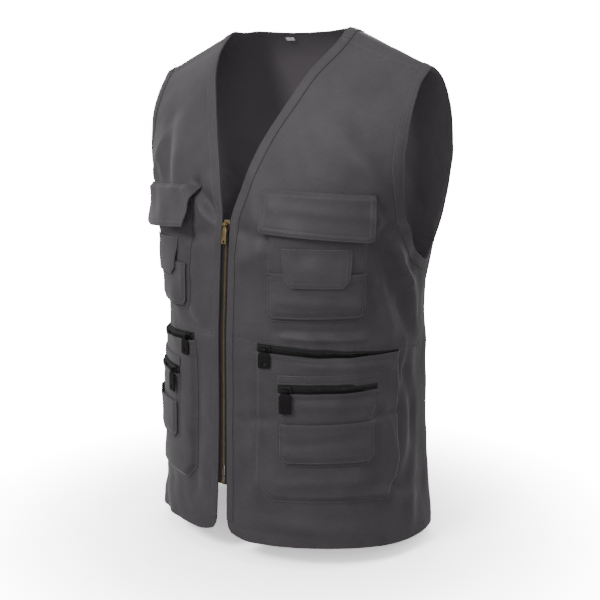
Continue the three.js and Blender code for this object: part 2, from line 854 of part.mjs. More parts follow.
// Big lower pocket, its mouth closed by the upper zip
const bigTop = (s) => {
  const share = THREE.MathUtils.clamp((bigStart + s - upperZipStart) / upperZipLength, 0, 1);
  return waistHeightAt(bigStart + s) - upperZipGap - upperZipWidth(share) - layerGap;
};
const bigLift = (edge) => pocketLift(0, pocketRise + 0.6, edge);
function bigPocketGeometry() {
  const across = places(bigWidth, [[pocketRoll, bigCorner], [pocketRoll, bigCorner]], 8);
  const rows = [0, 0.02, 0.14, 0.3, 0.46, 0.63, 0.8, 0.975, 1];
  return shellGeometry(rows.length - 1, across.length - 1, (r, c, inner) => {
    const s = across[c];
    const cut = Math.max(0, bigCorner - Math.min(s, bigWidth - s));
    const bottom = -bigBottom + cut;
    const depth = THREE.MathUtils.lerp(bottom, bigTop(s), rows[r]);
    const sewn = Math.min(s, bigWidth - s, depth - bottom, bigTop(s) - depth);
    return frontPoint(bigStart + s, depth, bigLift(sewn) - (inner ? pocketCloth : 0));
  });
}
placePair("big_pocket", bigPocketGeometry(), cloth);

// Patch pocket on the big pocket: a band, a zip below it, then the pocket and a slip pocket on it
const patchStart = bigStart + patchInset;
const patchBase = bigLift(pocketRoll) + layerGap / 2;
const flatLift = patchBase + layerGap + pocketCloth;
const patchZipTop = patchTop + patchBandHeight + layerGap;
const patchMouth = patchZipTop + coilTapeWidth + layerGap;
placePair(
  "patch_band",
  patchGeometry({
    start: patchStart,
    width: patchWidth,
    bottom: () => -patchTop - patchBandHeight,
    height: patchBandHeight,
    corner: 0,
    across: places(patchWidth, [[pocketRoll], [pocketRoll]], 8),
    up: [0, patchBandHeight],
    lift: () => flatLift,
    thickness: pocketCloth,
  }),
  cloth,
);
placePair(
  "lower_zip",
  coilZipGeometry({
    start: patchStart + 1,
    length: lowerZipLength,
    middle: () => -patchZipTop - coilTapeWidth / 2,
    width: () => coilTapeWidth,
    base: patchBase,
    steps: 8,
  }),
  tapeFinish,
);
const patchHeight = patchBottom - patchMouth;
const patchRise = 2;
const patchEdges = [[pocketRoll, patchCorner], [pocketRoll, patchCorner]];
placePair(
  "patch_pocket",
  patchGeometry({
    start: patchStart,
    width: patchWidth,
    bottom: () => -patchBottom,
    height: patchHeight,
    corner: patchCorner,
    across: places(patchWidth, patchEdges, 5),
    up: places(patchHeight, [[pocketRoll], [pocketRoll]], 4),
    lift: (s, rise, edge) => pocketLift(patchBase, patchRise, Math.min(edge, patchHeight - rise)),
    thickness: pocketCloth,
  }),
  cloth,
);
const patchSlipInset = pocketRoll + 0.6;
const patchSlipWidth = patchWidth - 2 * patchSlipInset;
const patchSlipHeight = patchBottom - patchSlipInset - slipPocketTop;
const patchSlipBase = pocketLift(patchBase, patchRise, pocketRoll);
placePair(
  "patch_slip_pocket",
  patchGeometry({
    start: patchStart + patchSlipInset,
    width: patchSlipWidth,
    bottom: () => -patchBottom + patchSlipInset,
    height: patchSlipHeight,
    corner: patchCorner * 0.8,
    across: places(patchSlipWidth, patchEdges, 5),
    up: places(patchSlipHeight, [[pocketRoll], []], 2),
    lift: (s, rise, edge) => pocketLift(patchSlipBase, slipRise, edge),
    thickness: pocketCloth,
  }),
  cloth,
);

// Main zip: a tape behind each front edge and the chain of teeth between them
const tapeInner = chainWidth / 2 + layerGap;
const tapeLift = -clothThickness - 2 * layerGap;
const tapeSteps = 12;
const tapeTopStation = stationAt(-zipTop, false);
const zipFootStation = stationAt(-zipFoot, false);
placePair(
  "main_zip_tape",
  shellGeometry(tapeSteps, 1, (r, c, inner) => {
    const station = THREE.MathUtils.lerp(zipFootStation, tapeTopStation, r / tapeSteps);
    const turn = turnAtX(station, tapeInner + c * tapeWidth);
    return liftedPoint(station, turn, tapeLift - (inner ? tapeThickness : 0));
  }),
  tapeFinish,
);
const chainTop = zipTop + mainSliderLength + layerGap;
const chainRows = 2 * Math.round((zipFoot - chainTop) / toothPitch);
const chainLift = tapeLift - tapeThickness / 2 + chainThickness / 2;
place(
  vest,
  "main_zip_teeth",
  shellGeometry(chainRows, 1, (r, c, inner) => {
    const height = THREE.MathUtils.lerp(-zipFoot, -chainTop, r / chainRows);
    const half = (chainWidth / 2) * (r % 2 ? 1 : 0.8);
    const p = frontPoint(0, height, chainLift - (inner ? chainThickness : 0));
    return p.setX(c === 0 ? -half : half);
  }),
  brass,
);

// Solids for the hardware are joined and cut as closed bodies
function bodyOf(geometry) {
  const bare = geometry.index ? geometry.toNonIndexed() : geometry.clone();
  bare.deleteAttribute("normal");
  bare.deleteAttribute("uv");
  const merged = mergeVertices(bare, 1e-4);
  return new wasm.Manifold(
    new wasm.Mesh({
      numProp: 3,
      vertProperties: merged.attributes.position.array,
      triVerts: new Uint32Array(merged.index.array),
    }),
  );
}

function geometryOf(body) {
  const mesh = body.getMesh();
  const geometry = new THREE.BufferGeometry();
  const count = mesh.vertProperties.length / mesh.numProp;
  const positions = new Float32Array(count * 3);
  for (let i = 0; i < count; i += 1) {
    const start = i * mesh.numProp;
    positions.set(mesh.vertProperties.subarray(start, start + 3), i * 3);
  }
  geometry.setAttribute("position", new THREE.BufferAttribute(positions, 3));
  geometry.setIndex(new THREE.BufferAttribute(new Uint32Array(mesh.triVerts), 1));
  geometry.computeVertexNormals();
  return geometry;
}

function roundedOutline(width, top, bottom, radius) {
  const half = width / 2;
  const shape = new THREE.Shape();
  shape.moveTo(-half, top);
  shape.lineTo(-half, bottom + radius);
  shape.quadraticCurveTo(-half, bottom, -half + radius, bottom);
  shape.lineTo(half - radius, bottom);
  shape.quadraticCurveTo(half, bottom, half, bottom + radius);
  shape.lineTo(half, top);
  shape.closePath();
  return shape;
}

function boxAt(width, depth, height, x, y, z) {
  return new THREE.BoxGeometry(width, depth, height).translate(x, y, z);
}

// A round rod along X
function rodAt(radius, length, sides, y, z) {
  const rod = new THREE.CylinderGeometry(radius, radius, length, sides);
  return rod.rotateZ(Math.PI / 2).translate(0, y, z);
}

// A flat plate drawn in X and Z, its thickness along Y and centred on Y = 0
function plate(shape, thickness) {
  const geometry = new THREE.ExtrudeGeometry(shape, {
    depth: thickness,
    bevelEnabled: false,
    curveSegments: 4,
  });
  return geometry.translate(0, 0, -thickness / 2).rotateX(Math.PI / 2);
}

// Hardware frames: origin on the pull's turning line, -Y out of the cloth, +Z up it
const eyeRadius = pinRadius + pinClearance + eyeWall;
const pinStand = eyeRadius + layerGap; // turning line above the slider's top face
const earThickness = 1.3;
const earHeight = 3.2;
const earRim = 0.5; // ear beyond the pin
const earRoot = 0.3; // ear sunk into the slider's plate
const eyeWidth = 5;
const eyePlay = 0.4; // beside the eye, between the ears
const earSpan = eyeWidth + 2 * (eyePlay + earThickness);
const pinFacets = 8;

function earsAndPin() {
  const top = -pinRadius - earRim;
  const foot = pinStand + earRoot;
  const offset = (earSpan - earThickness) / 2;
  const ears = [-offset, offset].map((x) =>
    bodyOf(boxAt(earThickness, foot - top, earHeight, x, (foot + top) / 2, 0)),
  );
  const pin = bodyOf(rodAt(pinRadius, earSpan - earThickness, pinFacets, 0, 0));
  return ears[0].add(ears[1]).add(pin);
}

// Pull tab: an eye round the pin and a plate below it with a hole near its end
const eyeFacets = 10;
const tabNeck = 1;
const tabCornerShare = 0.22;
const tabHoleShare = 0.36; // hole centre above the tab's end, as a share of its width
function pullTab(length, width, thickness, holeRadius) {
  const shoulder = -eyeRadius - tabNeck;
  const neck = roundedOutline(eyeWidth, 0, shoulder - tabNeck, tabNeck / 2);
  const body = roundedOutline(width, shoulder, -length, width * tabCornerShare);
  const hole = new THREE.Path();
  hole.absarc(0, -length + width * tabHoleShare, holeRadius, 0, 2 * Math.PI, true);
  body.holes.push(hole);
  const eye = bodyOf(rodAt(eyeRadius, eyeWidth, eyeFacets, 0, 0));
  const bore = bodyOf(rodAt(pinRadius + pinClearance, 2 * eyeWidth, eyeFacets, 0, 0));
  const stem = eye.add(bodyOf(plate(neck, thickness))).subtract(bore);
  return stem.add(bodyOf(plate(body, thickness)));
}

// Places a pull and its slider at a point of the front, tilted with the cloth
function setOnFront(mesh, distance, height, lift, side) {
  const station = stationAt(height, false);
  const turn = turnAtArc(station, distance);
  const p = liftedPoint(station, turn, lift);
  const out = bodyNormal(station, turn);
  const up = new THREE.Vector3(0, 0, 1).addScaledVector(out, -out.z).normalize();
  const back = out.clone().negate();
  const across = back.clone().cross(up);
  if (side < 0) {
    p.x *= -1;
    for (const axis of [up, back, across]) axis.x *= -1;
    across.negate();
  }
  mesh.position.copy(p);
  mesh.rotation.setFromRotationMatrix(new THREE.Matrix4().makeBasis(across, back, up));
}

// Main slider: two plates joined by a core, with ears that hold the pin
const mainPlate = 1.2;
const mainPlateLift = tapeLift + layerGap + mainPlate;
const mainPinLift = mainPlateLift + pinStand;
const backPlateLift = tapeLift - tapeThickness - 1.5 * layerGap;
function mainSlider() {
  const front = bodyOf(
    boxAt(mainSliderWidth, mainPlate, mainSliderLength, 0, pinStand + mainPlate / 2, 0),
  );
  const depth = mainPinLift - backPlateLift;
  const rear = bodyOf(
    boxAt(mainSliderWidth, mainPlate, mainSliderLength, 0, depth + mainPlate / 2, 0),
  );
  const coreWidth = chainWidth * 0.8;
  const core = bodyOf(
    boxAt(coreWidth, depth - pinStand, mainSliderLength, 0, (depth + pinStand + mainPlate) / 2, 0),
  );
  return front.add(rear).add(core).add(earsAndPin());
}
const mainMiddle = -zipTop - mainSliderLength / 2;
const mainSliderMesh = place(vest, "main_slider", geometryOf(mainSlider()), brass);
setOnFront(mainSliderMesh, 0, mainMiddle, mainPinLift, 1);
const mainPull = place(
  vest,
  "main_pull",
  geometryOf(pullTab(mainTabLength, mainTabWidth, mainTabThickness, mainTabWidth * 0.22)),
  brass,
);
setOnFront(mainPull, 0, mainMiddle, mainPinLift, 1);

// Pocket sliders: a channel over the coil, with ears that hold the pin along the zip
const channelClear = coilTapeThickness + coilRise + layerGap; // above the strip's underside
function pocketSlider() {
  const deep = pinStand + pocketSliderWall;
  const wallDrop = channelClear - coilTapeThickness - layerGap + earRoot;
  const top = bodyOf(
    boxAt(
      pocketSliderLength,
      pocketSliderWall,
      pocketSliderWidth,
      0,
      pinStand + pocketSliderWall / 2,
      0,
    ),
  );
  const offset = pocketSliderWidth / 2 - pocketSliderWall / 2;
  const walls = [-offset, offset].map((z) =>
    bodyOf(
      boxAt(pocketSliderLength, wallDrop, pocketSliderWall, 0, deep + wallDrop / 2 - earRoot, z),
    ),
  );
  return top.add(walls[0]).add(walls[1]).add(earsAndPin());
}

function pocketHardware(name, distance, height, base, tabLength) {
  const lift = base + layerGap + channelClear + pocketSliderWall + pinStand;
  for (const [side, sign] of [["left", 1], ["right", -1]]) {
    const slider = place(
      sides[side],
      name + "_slider_" + side,
      geometryOf(pocketSlider()),
      blackMetal,
    );
    setOnFront(slider, distance, height, lift, sign);
    const pull = place(
      sides[side],
      name + "_pull_" + side,
      geometryOf(pullTab(tabLength, pocketTabWidth, pocketTabThickness, pocketTabHole)),
      blackPlastic,
    );
    setOnFront(pull, distance, height, lift, sign);
  }
}
const sliderInset = pocketSliderLength / 2 + 4;
const upperSliderPlace = upperZipStart + sliderInset;
pocketHardware("upper", upperSliderPlace, upperZipMiddle(upperSliderPlace), 0, upperTabLength);
pocketHardware(
  "lower",
  patchStart + sliderInset,
  -patchZipTop - coilTapeWidth / 2,
  patchBase,
  lowerTabLength,
);

// Size label sewn inside the back neck, blank
const labelThickness = 0.5;
const labelStand = 1.6;
place(
  vest,
  "size_label",
  shellGeometry(1, 2, (r, c, inner) => {
    const x = labelOffset + (c / 2 - 0.5) * labelWidth;
    const station = neckStation + (labelDrop + r * labelHeight) / labelSlope();
    const lift = -clothThickness - labelStand - (inner ? labelThickness : 0);
    const p = liftedPoint(station, turnAtX(station, x), lift);
    return p.setX(-p.x);
  }),
  labelFinish,
);

// Length of cloth for one station at the back neck
function labelSlope() {
  return bodyPoint(neckStation + 1, 0).distanceTo(bodyPoint(neckStation, 0));
}

export default vest;
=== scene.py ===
from functools import reduce
import math
import bpy
import numpy as np
from mathutils import Matrix, Vector


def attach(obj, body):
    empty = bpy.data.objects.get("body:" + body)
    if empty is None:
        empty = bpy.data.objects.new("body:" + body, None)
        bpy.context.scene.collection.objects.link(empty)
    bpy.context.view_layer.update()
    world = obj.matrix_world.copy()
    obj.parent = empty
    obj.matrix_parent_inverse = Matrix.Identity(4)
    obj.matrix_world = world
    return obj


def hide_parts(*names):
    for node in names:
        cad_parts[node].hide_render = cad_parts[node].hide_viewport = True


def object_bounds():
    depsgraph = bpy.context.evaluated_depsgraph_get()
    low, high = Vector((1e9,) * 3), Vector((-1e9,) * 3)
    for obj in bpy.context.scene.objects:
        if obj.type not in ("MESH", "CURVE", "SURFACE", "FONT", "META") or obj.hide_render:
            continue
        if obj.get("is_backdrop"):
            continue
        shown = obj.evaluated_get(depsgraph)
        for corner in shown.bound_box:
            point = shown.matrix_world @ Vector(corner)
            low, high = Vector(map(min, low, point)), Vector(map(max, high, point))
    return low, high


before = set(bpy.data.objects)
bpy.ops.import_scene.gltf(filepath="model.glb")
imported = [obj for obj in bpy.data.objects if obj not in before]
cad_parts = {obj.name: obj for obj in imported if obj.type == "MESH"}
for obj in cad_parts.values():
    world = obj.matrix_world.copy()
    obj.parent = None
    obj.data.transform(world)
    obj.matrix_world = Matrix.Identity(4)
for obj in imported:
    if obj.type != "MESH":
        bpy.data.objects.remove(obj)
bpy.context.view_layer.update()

# Back panel. One piece of charcoal cotton twill from the hem over both shoulders to the seams
# in front of the crest. The whole vest shares its worn form: sections from the front hem over
# the shoulder to the back hem, joined by smooth curves. Lengths here are in millimetres.
BODY_LENGTH, ARMHOLE_DEPTH = 671, 304
NECK_WIDTH, SHOULDER_WIDTH, SHOULDER_DROP = 188, 446, 57
UNDERARM_WIDTH, FRONT_DEPTH, BACK_DEPTH, SIDE_SETBACK = 384, 141, 150, 30
BACK_NECK_DEPTH, NECK_CURVE = 42, 2.6
HEM_DIP, HEM_STITCH = 13, 15  # fall of the hem at the sides, and its stitches above it
SIDE_SEAM, SEAM_GAP, SIDE_GAP = 1.06, -0.3, -0.6
CREST, UNDERARM, BACK_UNDERARM, LAST = 14, 6, 21, 27
ZIP_HALF, CLOTH = 6.5, 1.2
MID_TURN = 0.45  # a line up the middle of a panel, along which its length is measured
FAR = 99  # a distance beyond the reach of any sewn line
SECTION_COLUMNS = ("level", "centre", "half", "side", "round", "slope", "neck", "arm")
SECTIONS = np.array([
    (2, 1.106, 1.047, 1.03, 2.15, 0, 0.03, 1.06),
    (1.861, 1.085, 1.013, 1.03, 2.15, 0, 0.017, 1.06),
    (1.698, 1.064, 0.984, 1.03, 2.15, 0, 0.006, 1.06),
    (1.48, 1.05, 0.966, 1.07, 2.15, 0, 0, 1.06),
    (1.262, 1.043, 0.964, 1.07, 2.15, 0, 0, 1.06),
    (1.123, 1.021, 0.969, 1.07, 2.2, 0, 0, 1.06),
    (1, 1, 1, 1, 2.25, 0, 0, 1.06),
    (0.836, 0.965, 1.057, 0.93, 2.3, 0, 0, 0.862),
    (0.671, 0.887, 1.125, 0.9, 2.35, 0.1, 0.131, 0.765),
    (0.507, 0.78, 1.198, 0.87, 2.4, 0.35, 0.31, 0.69),
    (0.342, 0.603, 1.266, 0.73, 2.4, 0.75, 0.566, 0.632),
    (0.211, 0.447, 1.333, 0.47, 2.4, 0.97, 0.777, 0.585),
    (0.112, 0.262, 1.396, 0.23, 2.4, 1, 0.937, 0.545),
    (0.046, 0.099, 1.438, 0.13, 2.4, 1, 0.994, 0.524),
    (0, 0.053, 1.458, 0.13, 2.4, 1, 1, 0.525),
    (0.007, 0.2, 1.438, 0.47, 2.4, 1.06, 1, 0.53),
    (0.02, 0.333, 1.396, 0.73, 2.4, 1.12, 1, 0.542),
    (0.125, 0.573, 1.333, 0.83, 2.4, 1.06, 1, 0.582),
    (0.322, 0.773, 1.26, 0.9, 2.35, 0.64, 1, 0.64),
    (0.559, 0.88, 1.198, 0.93, 2.3, 0.25, 1, 0.7),
    (0.786, 0.947, 1.115, 0.97, 2.3, 0, 1, 0.79),
    (1, 1, 1, 1, 2.25, 0, 1, 0.94),
    (1.123, 1.033, 0.969, 1.07, 2.2, 0, 1, 0.94),
    (1.262, 1.067, 0.964, 1.07, 2.15, 0, 1, 0.94),
    (1.48, 1.093, 0.966, 1.07, 2.15, 0, 1, 0.94),
    (1.698, 1.12, 0.984, 1.03, 2.15, 0, 1, 0.94),
    (1.861, 1.133, 1.013, 1.03, 2.15, 0, 1, 0.94),
    (2, 1.147, 1.047, 1.03, 2.15, 0, 1, 0.94),
])


def sized_sections():
    """The table's shares times the named sizes, one array for each column, in millimetres."""
    share = dict(zip(SECTION_COLUMNS, SECTIONS.T))
    depth = np.where(np.arange(LAST + 1) < CREST, -FRONT_DEPTH, BACK_DEPTH)
    below = share["level"] - 1
    return {
        "level": np.where(below <= 0, -ARMHOLE_DEPTH * share["level"],
                          -ARMHOLE_DEPTH - (BODY_LENGTH - ARMHOLE_DEPTH) * below),
        "centre": share["centre"] * depth,
        "half": share["half"] * UNDERARM_WIDTH / 2,
        "side": share["side"] * SIDE_SETBACK,
        "round": share["round"],
        "slope": share["slope"],
        "neck": ZIP_HALF + share["neck"] * (NECK_WIDTH / 2 - ZIP_HALF),
        "arm": share["arm"],
    }


def gentle_slopes(values):
    """At each row the mean of the steps before and after it, no steeper than three times the
    smaller one, and nothing where the steps turn back, so the curve never overshoots a row."""
    steps = np.diff(values)
    inside = (steps[:-1] + steps[1:]) / 2
    limit = 3 * np.minimum(abs(steps[:-1]), abs(steps[1:]))
    inside = np.where(steps[:-1] * steps[1:] <= 0, 0, np.clip(inside, -limit, limit))
    return np.concatenate([steps[:1], inside, steps[-1:]])


SIZED = sized_sections()
SLOPES = {name: gentle_slopes(values) for name, values in SIZED.items()}


def section(name, station):
    """Cubic curve through a column's rows that meets each row's value and slope."""
    station = np.asarray(station, float)
    i = np.clip(np.floor(station).astype(int), 0, LAST - 1)
    t = station - i
    value, slope = SIZED[name], SLOPES[name]
    blend = t * t * (3 - 2 * t)
    return (value[i] * (1 - blend) + value[i + 1] * blend
            + slope[i] * t * (1 - t) ** 2 + slope[i + 1] * t * t * (t - 1))


FRONT_STATIONS = np.linspace(0, CREST, 2801)
BACK_STATIONS = np.linspace(CREST, LAST, 2601)
FRONT_LEVELS = section("level", FRONT_STATIONS)
BACK_LEVELS = section("level", BACK_STATIONS)


def front_station(height):
    """The station on the front at a height, read off the curve of levels."""
    return np.interp(height, FRONT_LEVELS, FRONT_STATIONS)


def back_station(height):
    """The station on the back at a height, read off the curve of levels."""
    return np.interp(-np.asarray(height), -BACK_LEVELS, BACK_STATIONS)


def half_ring(station, turn):
    """A quarter of a rounded rectangle: x is the half width times sine to a power, y runs from
    the side line to the centre with cosine to the same power. The shoulder's fall and the hem's
    dip at the sides lower it."""
    angle = turn * np.pi / 2
    power = 2 / section("round", station)
    side, centre = section("side", station), section("centre", station)
    level = section("level", station)
    x = section("half", station) * np.abs(np.sin(angle)) ** power
    y = side + (centre - side) * np.abs(np.cos(angle)) ** power
    along = np.maximum(0, (x - NECK_WIDTH / 2) / ((SHOULDER_WIDTH - NECK_WIDTH) / 2) + 0.14)
    fall = SHOULDER_DROP * (np.hypot(along, 0.1) - 0.1)
    middle = -ARMHOLE_DEPTH - (BODY_LENGTH - ARMHOLE_DEPTH) / 2
    low = np.clip((middle - level) / (middle + BODY_LENGTH), 0, 1)
    dip = HEM_DIP * low * np.where(station > CREST, 1, np.sin(np.minimum(turn, 1) * np.pi / 2) ** 6)
    return np.stack([x, y, level - section("slope", station) * fall - dip], -1)


def body_point(station, turn):
    """A point of the vest's outer surface. Turn is 0 at the centre and 1 at the widest line on
    the wearer's left, less than 0 on the right, and past 1 it goes on round the side at the same
    height."""
    station, turn = np.broadcast_arrays(np.asarray(station, float), np.asarray(turn, float))
    far = np.abs(turn)
    level = section("level", station)
    across = np.where(station <= CREST, back_station(level), front_station(level))
    point = half_ring(np.where(far > 1, across, station), np.where(far > 1, 2 - far, far))
    point[..., 0] *= np.where(turn < 0, -1, 1)
    return point


def direction(vectors):
    """Each vector made one long."""
    return vectors / np.linalg.norm(vectors, axis=-1, keepdims=True)


def body_normal(station, turn):
    """The direction square to the surface, from small steps along it each way."""
    step = 0.002
    up = body_point(station + step, turn) - body_point(station - step, turn)
    around = body_point(station, turn + step) - body_point(station, turn - step)
    return direction(np.cross(around, up))


# Distances along the cloth from the centre, tabled once, and the turn at such a distance
TABLE_STATIONS = np.linspace(0, LAST, 541)
TABLE_TURNS = np.linspace(0, 1.32, 265)
TABLE_REACH = np.linspace(0, 330, 331)


def reach_tables():
    """For each station the running length of the section's curve over turn, and the same read
    backwards, turn over length."""
    points = body_point(TABLE_STATIONS[:, None], TABLE_TURNS[None, :])
    steps = np.linalg.norm(np.diff(points, axis=1), axis=-1)
    reach = np.concatenate([np.zeros((len(points), 1)), np.cumsum(steps, 1)], 1)
    return reach, np.array([np.interp(TABLE_REACH, row, TABLE_TURNS) for row in reach])


REACH, TURNS = reach_tables()


def read_table(table, rows, columns, row, column):
    """Reads a table between its entries, straight along both ways."""
    row, column = np.broadcast_arrays(row, column)
    r = np.clip(np.interp(row, rows, np.arange(len(rows))), 0, len(rows) - 1.001)
    c = np.clip(np.interp(column, columns, np.arange(len(columns))), 0, len(columns) - 1.001)
    i, j = np.floor(r).astype(int), np.floor(c).astype(int)
    a, b = r - i, c - j
    return ((table[i, j] * (1 - a) + table[i + 1, j] * a) * (1 - b)
            + (table[i, j + 1] * (1 - a) + table[i + 1, j + 1] * a) * b)


def reach_at(station, turn):
    """Distance along the cloth from the centre, less than 0 on the wearer's right."""
    return np.sign(turn) * read_table(REACH, TABLE_STATIONS, TABLE_TURNS, station, np.abs(turn))


def turn_at(station, reach):
    """The turn at a distance along the cloth from the centre."""
    return np.sign(reach) * read_table(TURNS, TABLE_STATIONS, TABLE_REACH, station, np.abs(reach))


def turn_at_x(station, x):
    """The turn at which a section reaches a distance x from the middle plane."""
    share = np.clip(np.abs(x) / section("half", station), 0, 1)
    return np.sign(x) * np.arcsin(share ** (section("round", station) / 2)) * 2 / np.pi


# Folds of the worn cloth, from one end to the other: reach from the centre along the cloth,
# less than 0 on the wearer's right, height, and the fold's half width and height
FOLD_COLUMNS = ("reach", "height", "reach_end", "height_end", "half", "rise")
FRONT_FOLDS = np.array([
    (236, -284, 306, -392, 11, 4.2),
    (213, -286, 276, -392, 13, -3.4),
    (262, -350, 292, -398, 9, -2.2),
    (286, -430, 262, -560, 14, 3.0),
    (271, -452, 292, -545, 10, -3.6),
    (306, -470, 288, -640, 12, 2.4),
    (205, -497, 252, -500, 6, -1.6),
    (22, -258, 60, -268, 9, -1.8),
    (18, -300, 62, -282, 12, 1.6),
    (90, -392, 190, -396, 5, 1.3),
    (82, -384, 185, -387, 5, -1.1),
    (205, -272, 232, -246, 12, -2.6),
    (30, -505, 72, -500, 8, -1.2),
    (215, -588, 300, -600, 9, -1.4),
    (225, -606, 305, -620, 9, 1.3),
    (60, -640, 190, -650, 10, 0.9),
    (150, -120, 205, -215, 13, 1.6),
    (95, -110, 165, -190, 16, -1.3),
    (205, -240, 262, -262, 9, 1.7),
    (30, -190, 58, -300, 10, 1.2),
    (212, -330, 238, -390, 9, 1.6),
    (250, -300, 300, -330, 9, -1.8),
    (40, -420, 52, -600, 9, 1.3),
    (-150, -120, -200, -215, 13, 1.4),
    (-40, -200, -56, -320, 9, 1.2),
    (-45, -430, -52, -620, 10, -1.2),
    (120, -428, 235, -434, 6, 0.9),
    (110, -417, 200, -420, 5, -0.7),
    (215, -470, 250, -560, 7, 1.2),
    (60, -470, 72, -560, 7, -0.9),
    (90, -585, 200, -580, 7, 0.8),
    (100, -478, 200, -482, 6, 0.7),
    (95, -530, 190, -524, 7, -0.7),
    (70, -230, 190, -236, 7, 0.7),
    (80, -345, 190, -352, 7, 0.8),
    (200, -215, 226, -258, 6, -1.5),
    (196, -228, 214, -300, 7, 1.2),
    (225, -265, 262, -330, 6, 1.4),
    (268, -405, 250, -470, 6, 1.5),
    (170, -110, 190, -180, 24, -1.4),
    (120, -120, 150, -196, 26, 1.3),
    (-60, -206, -14, -246, 7, -3.2),
    (-70, -214, -24, -256, 8, 2.2),
    (-20, -262, -62, -272, 9, -2.0),
    (-200, -262, -262, -330, 13, 3.0),
    (-215, -330, -285, -396, 12, -2.4),
    (-286, -430, -266, -600, 14, 2.6),
    (-120, -90, -96, -200, 22, 2.2),
    (-150, -100, -132, -190, 16, -2.4),
    (-20, -395, -60, -388, 7, -1.6),
    (-60, -610, -190, -636, 12, -1.4),
])
BACK_FOLDS = np.array([
    (70, -150, 110, -330, 26, -2.6),
    (150, -240, 215, -330, 15, 2.8),
    (165, -262, 225, -352, 12, -2.2),
    (30, -420, 55, -650, 34, 3.2),
    (140, -420, 160, -650, 30, -2.6),
    (215, -430, 240, -640, 24, 2.4),
    (0, -60, 40, -110, 18, 1.2),
    (-90, -170, -120, -350, 24, -2.4),
    (-150, -236, -218, -326, 15, 3.0),
    (-160, -270, -222, -360, 12, -2.4),
    (-70, -430, -96, -655, 32, -2.8),
    (-165, -400, -180, -640, 28, 2.6),
])


def smooth(value, low, high):
    """0 at low, 1 at high, and a soft step between them."""
    share = np.clip((value - low) / (high - low), 0, 1)
    return share * share * (3 - 2 * share)


def fold_relief(folds, reach, height):
    """Each fold is a ridge whose height falls off as a bell curve with the distance from its
    line and fades towards both ends; the relief is their sum. Negative ones are valleys."""
    fold = dict(zip(FOLD_COLUMNS, folds.T[:, :, None]))
    x, z = np.ravel(reach), np.ravel(height)
    dx, dz = fold["reach_end"] - fold["reach"], fold["height_end"] - fold["height"]
    length = np.hypot(dx, dz)
    along = ((x - fold["reach"]) * dx + (z - fold["height"]) * dz) / length ** 2
    off = ((x - fold["reach"]) * dz - (z - fold["height"]) * dx) / length
    beyond = np.maximum(0, np.abs(along - 0.5) - 0.5) * length
    fade = np.exp(-(beyond / (1.3 * fold["half"])) ** 2) * (0.6 + 0.4 * np.cos((along - 0.5) * 2.2))
    ridges = fold["rise"] * np.exp(-(off / fold["half"]) ** 2) * fade
    return np.sum(ridges, 0).reshape(np.shape(reach))


SIDE_RELIEF = 1.1  # ripples along the side seams
FOLD_DEPTH, CRUSH = 2.3, 0.8  # strength of the folds, and of the small unrest between them

# Places where metal parts hold the cloth flat: reach, height and how far around
HELD_FLAT = np.array([(64.5, -408, 34), (92.5, -459, 34), (-64.5, -408, 34), (-92.5, -459, 34)])


def drape(station, turn):
    """How far the worn cloth lies off its smooth form: the folds and a slow unevenness of a few
    long waves. It fades out at the shoulders, beside the zip and where metal holds the cloth."""
    reach = reach_at(station, turn)
    reach, height = np.broadcast_arrays(reach, section("level", station))
    from_front = np.where(station <= CREST, np.abs(turn), 2 - np.abs(turn))
    on_front = np.where(station <= CREST, 1 - smooth(from_front, 0.9, SIDE_SEAM), 0)
    on_back = np.where(station <= CREST, 0, smooth(from_front, SIDE_SEAM, 1.24))
    by_side = SIDE_RELIEF * np.exp(-((from_front - SIDE_SEAM) / 0.13) ** 2) * (
        np.sin(height / 29 + 0.4) + 0.7 * np.sin(height / 13 + 2 * np.sign(turn)))
    slow = (np.sin(reach / 31 + height / 83 + 1.7) + np.sin(reach / 47 - height / 39)
            + np.sin(height / 23 + reach / 90)
            + 0.6 * np.sin(reach / 13 + height / 19) * np.sin(height / 57 + 2.1))
    calm = np.clip((-height - 20) / 150, 0.15, 1)
    by_zip = np.where(station < CREST, smooth(np.abs(reach), 4, 30), 1)
    held = 1.0
    for place in HELD_FLAT:
        away = np.hypot(reach - place[0], height - place[1])
        held = held * np.where(station < CREST, smooth(away, 8, place[2]), 1)
    crush = (np.sin(reach / 7.3 + 2.2 * np.sin(height / 33)) * np.sin(height / 17 + reach / 41)
             + np.sin((reach + height) / 11.7 + 1.3 * np.sin(reach / 29))
             * np.sin(height / 43 - reach / 23 + 2))
    unrest = CRUSH * crush * np.clip(0.5 + 0.5 * slow, 0.1, 1.5)
    front = FOLD_DEPTH * fold_relief(FRONT_FOLDS, reach, height) + 0.35 * slow + unrest
    back = FOLD_DEPTH * fold_relief(BACK_FOLDS, reach, height) + 0.45 * slow + unrest
    relief = front * on_front * by_zip + back * on_back
    return (relief + by_side) * calm * held


def skin(side, station, turn, lift):
    """A point lifted off the body along its normal by lift plus the drape, side times turn round
    from the centre."""
    station, turn = np.broadcast_arrays(np.asarray(station, float), np.asarray(turn, float) * side)
    away = lift + drape(station, turn)
    return body_point(station, turn) + body_normal(station, turn) * away[..., None]


def arm_turn(station):
    """How far round a panel goes at the armhole: the table's column, and near the foot a curve
    that leaves the side seam steeply, so that the foot is round."""
    station = np.asarray(station, float)
    turn = section("arm", station)
    rise = np.clip(station - UNDERARM, 0, 1) ** 0.6
    fall = np.clip(BACK_UNDERARM - station, 0, 1) ** 0.6
    front = SIDE_SEAM + (section("arm", UNDERARM + 1.0) - SIDE_SEAM) * rise
    back = 2 - SIDE_SEAM + (section("arm", BACK_UNDERARM - 1.0) - 2 + SIDE_SEAM) * fall
    turn = np.where(station < UNDERARM + 1, front, turn)
    return np.where(station > BACK_UNDERARM - 1, back, turn)


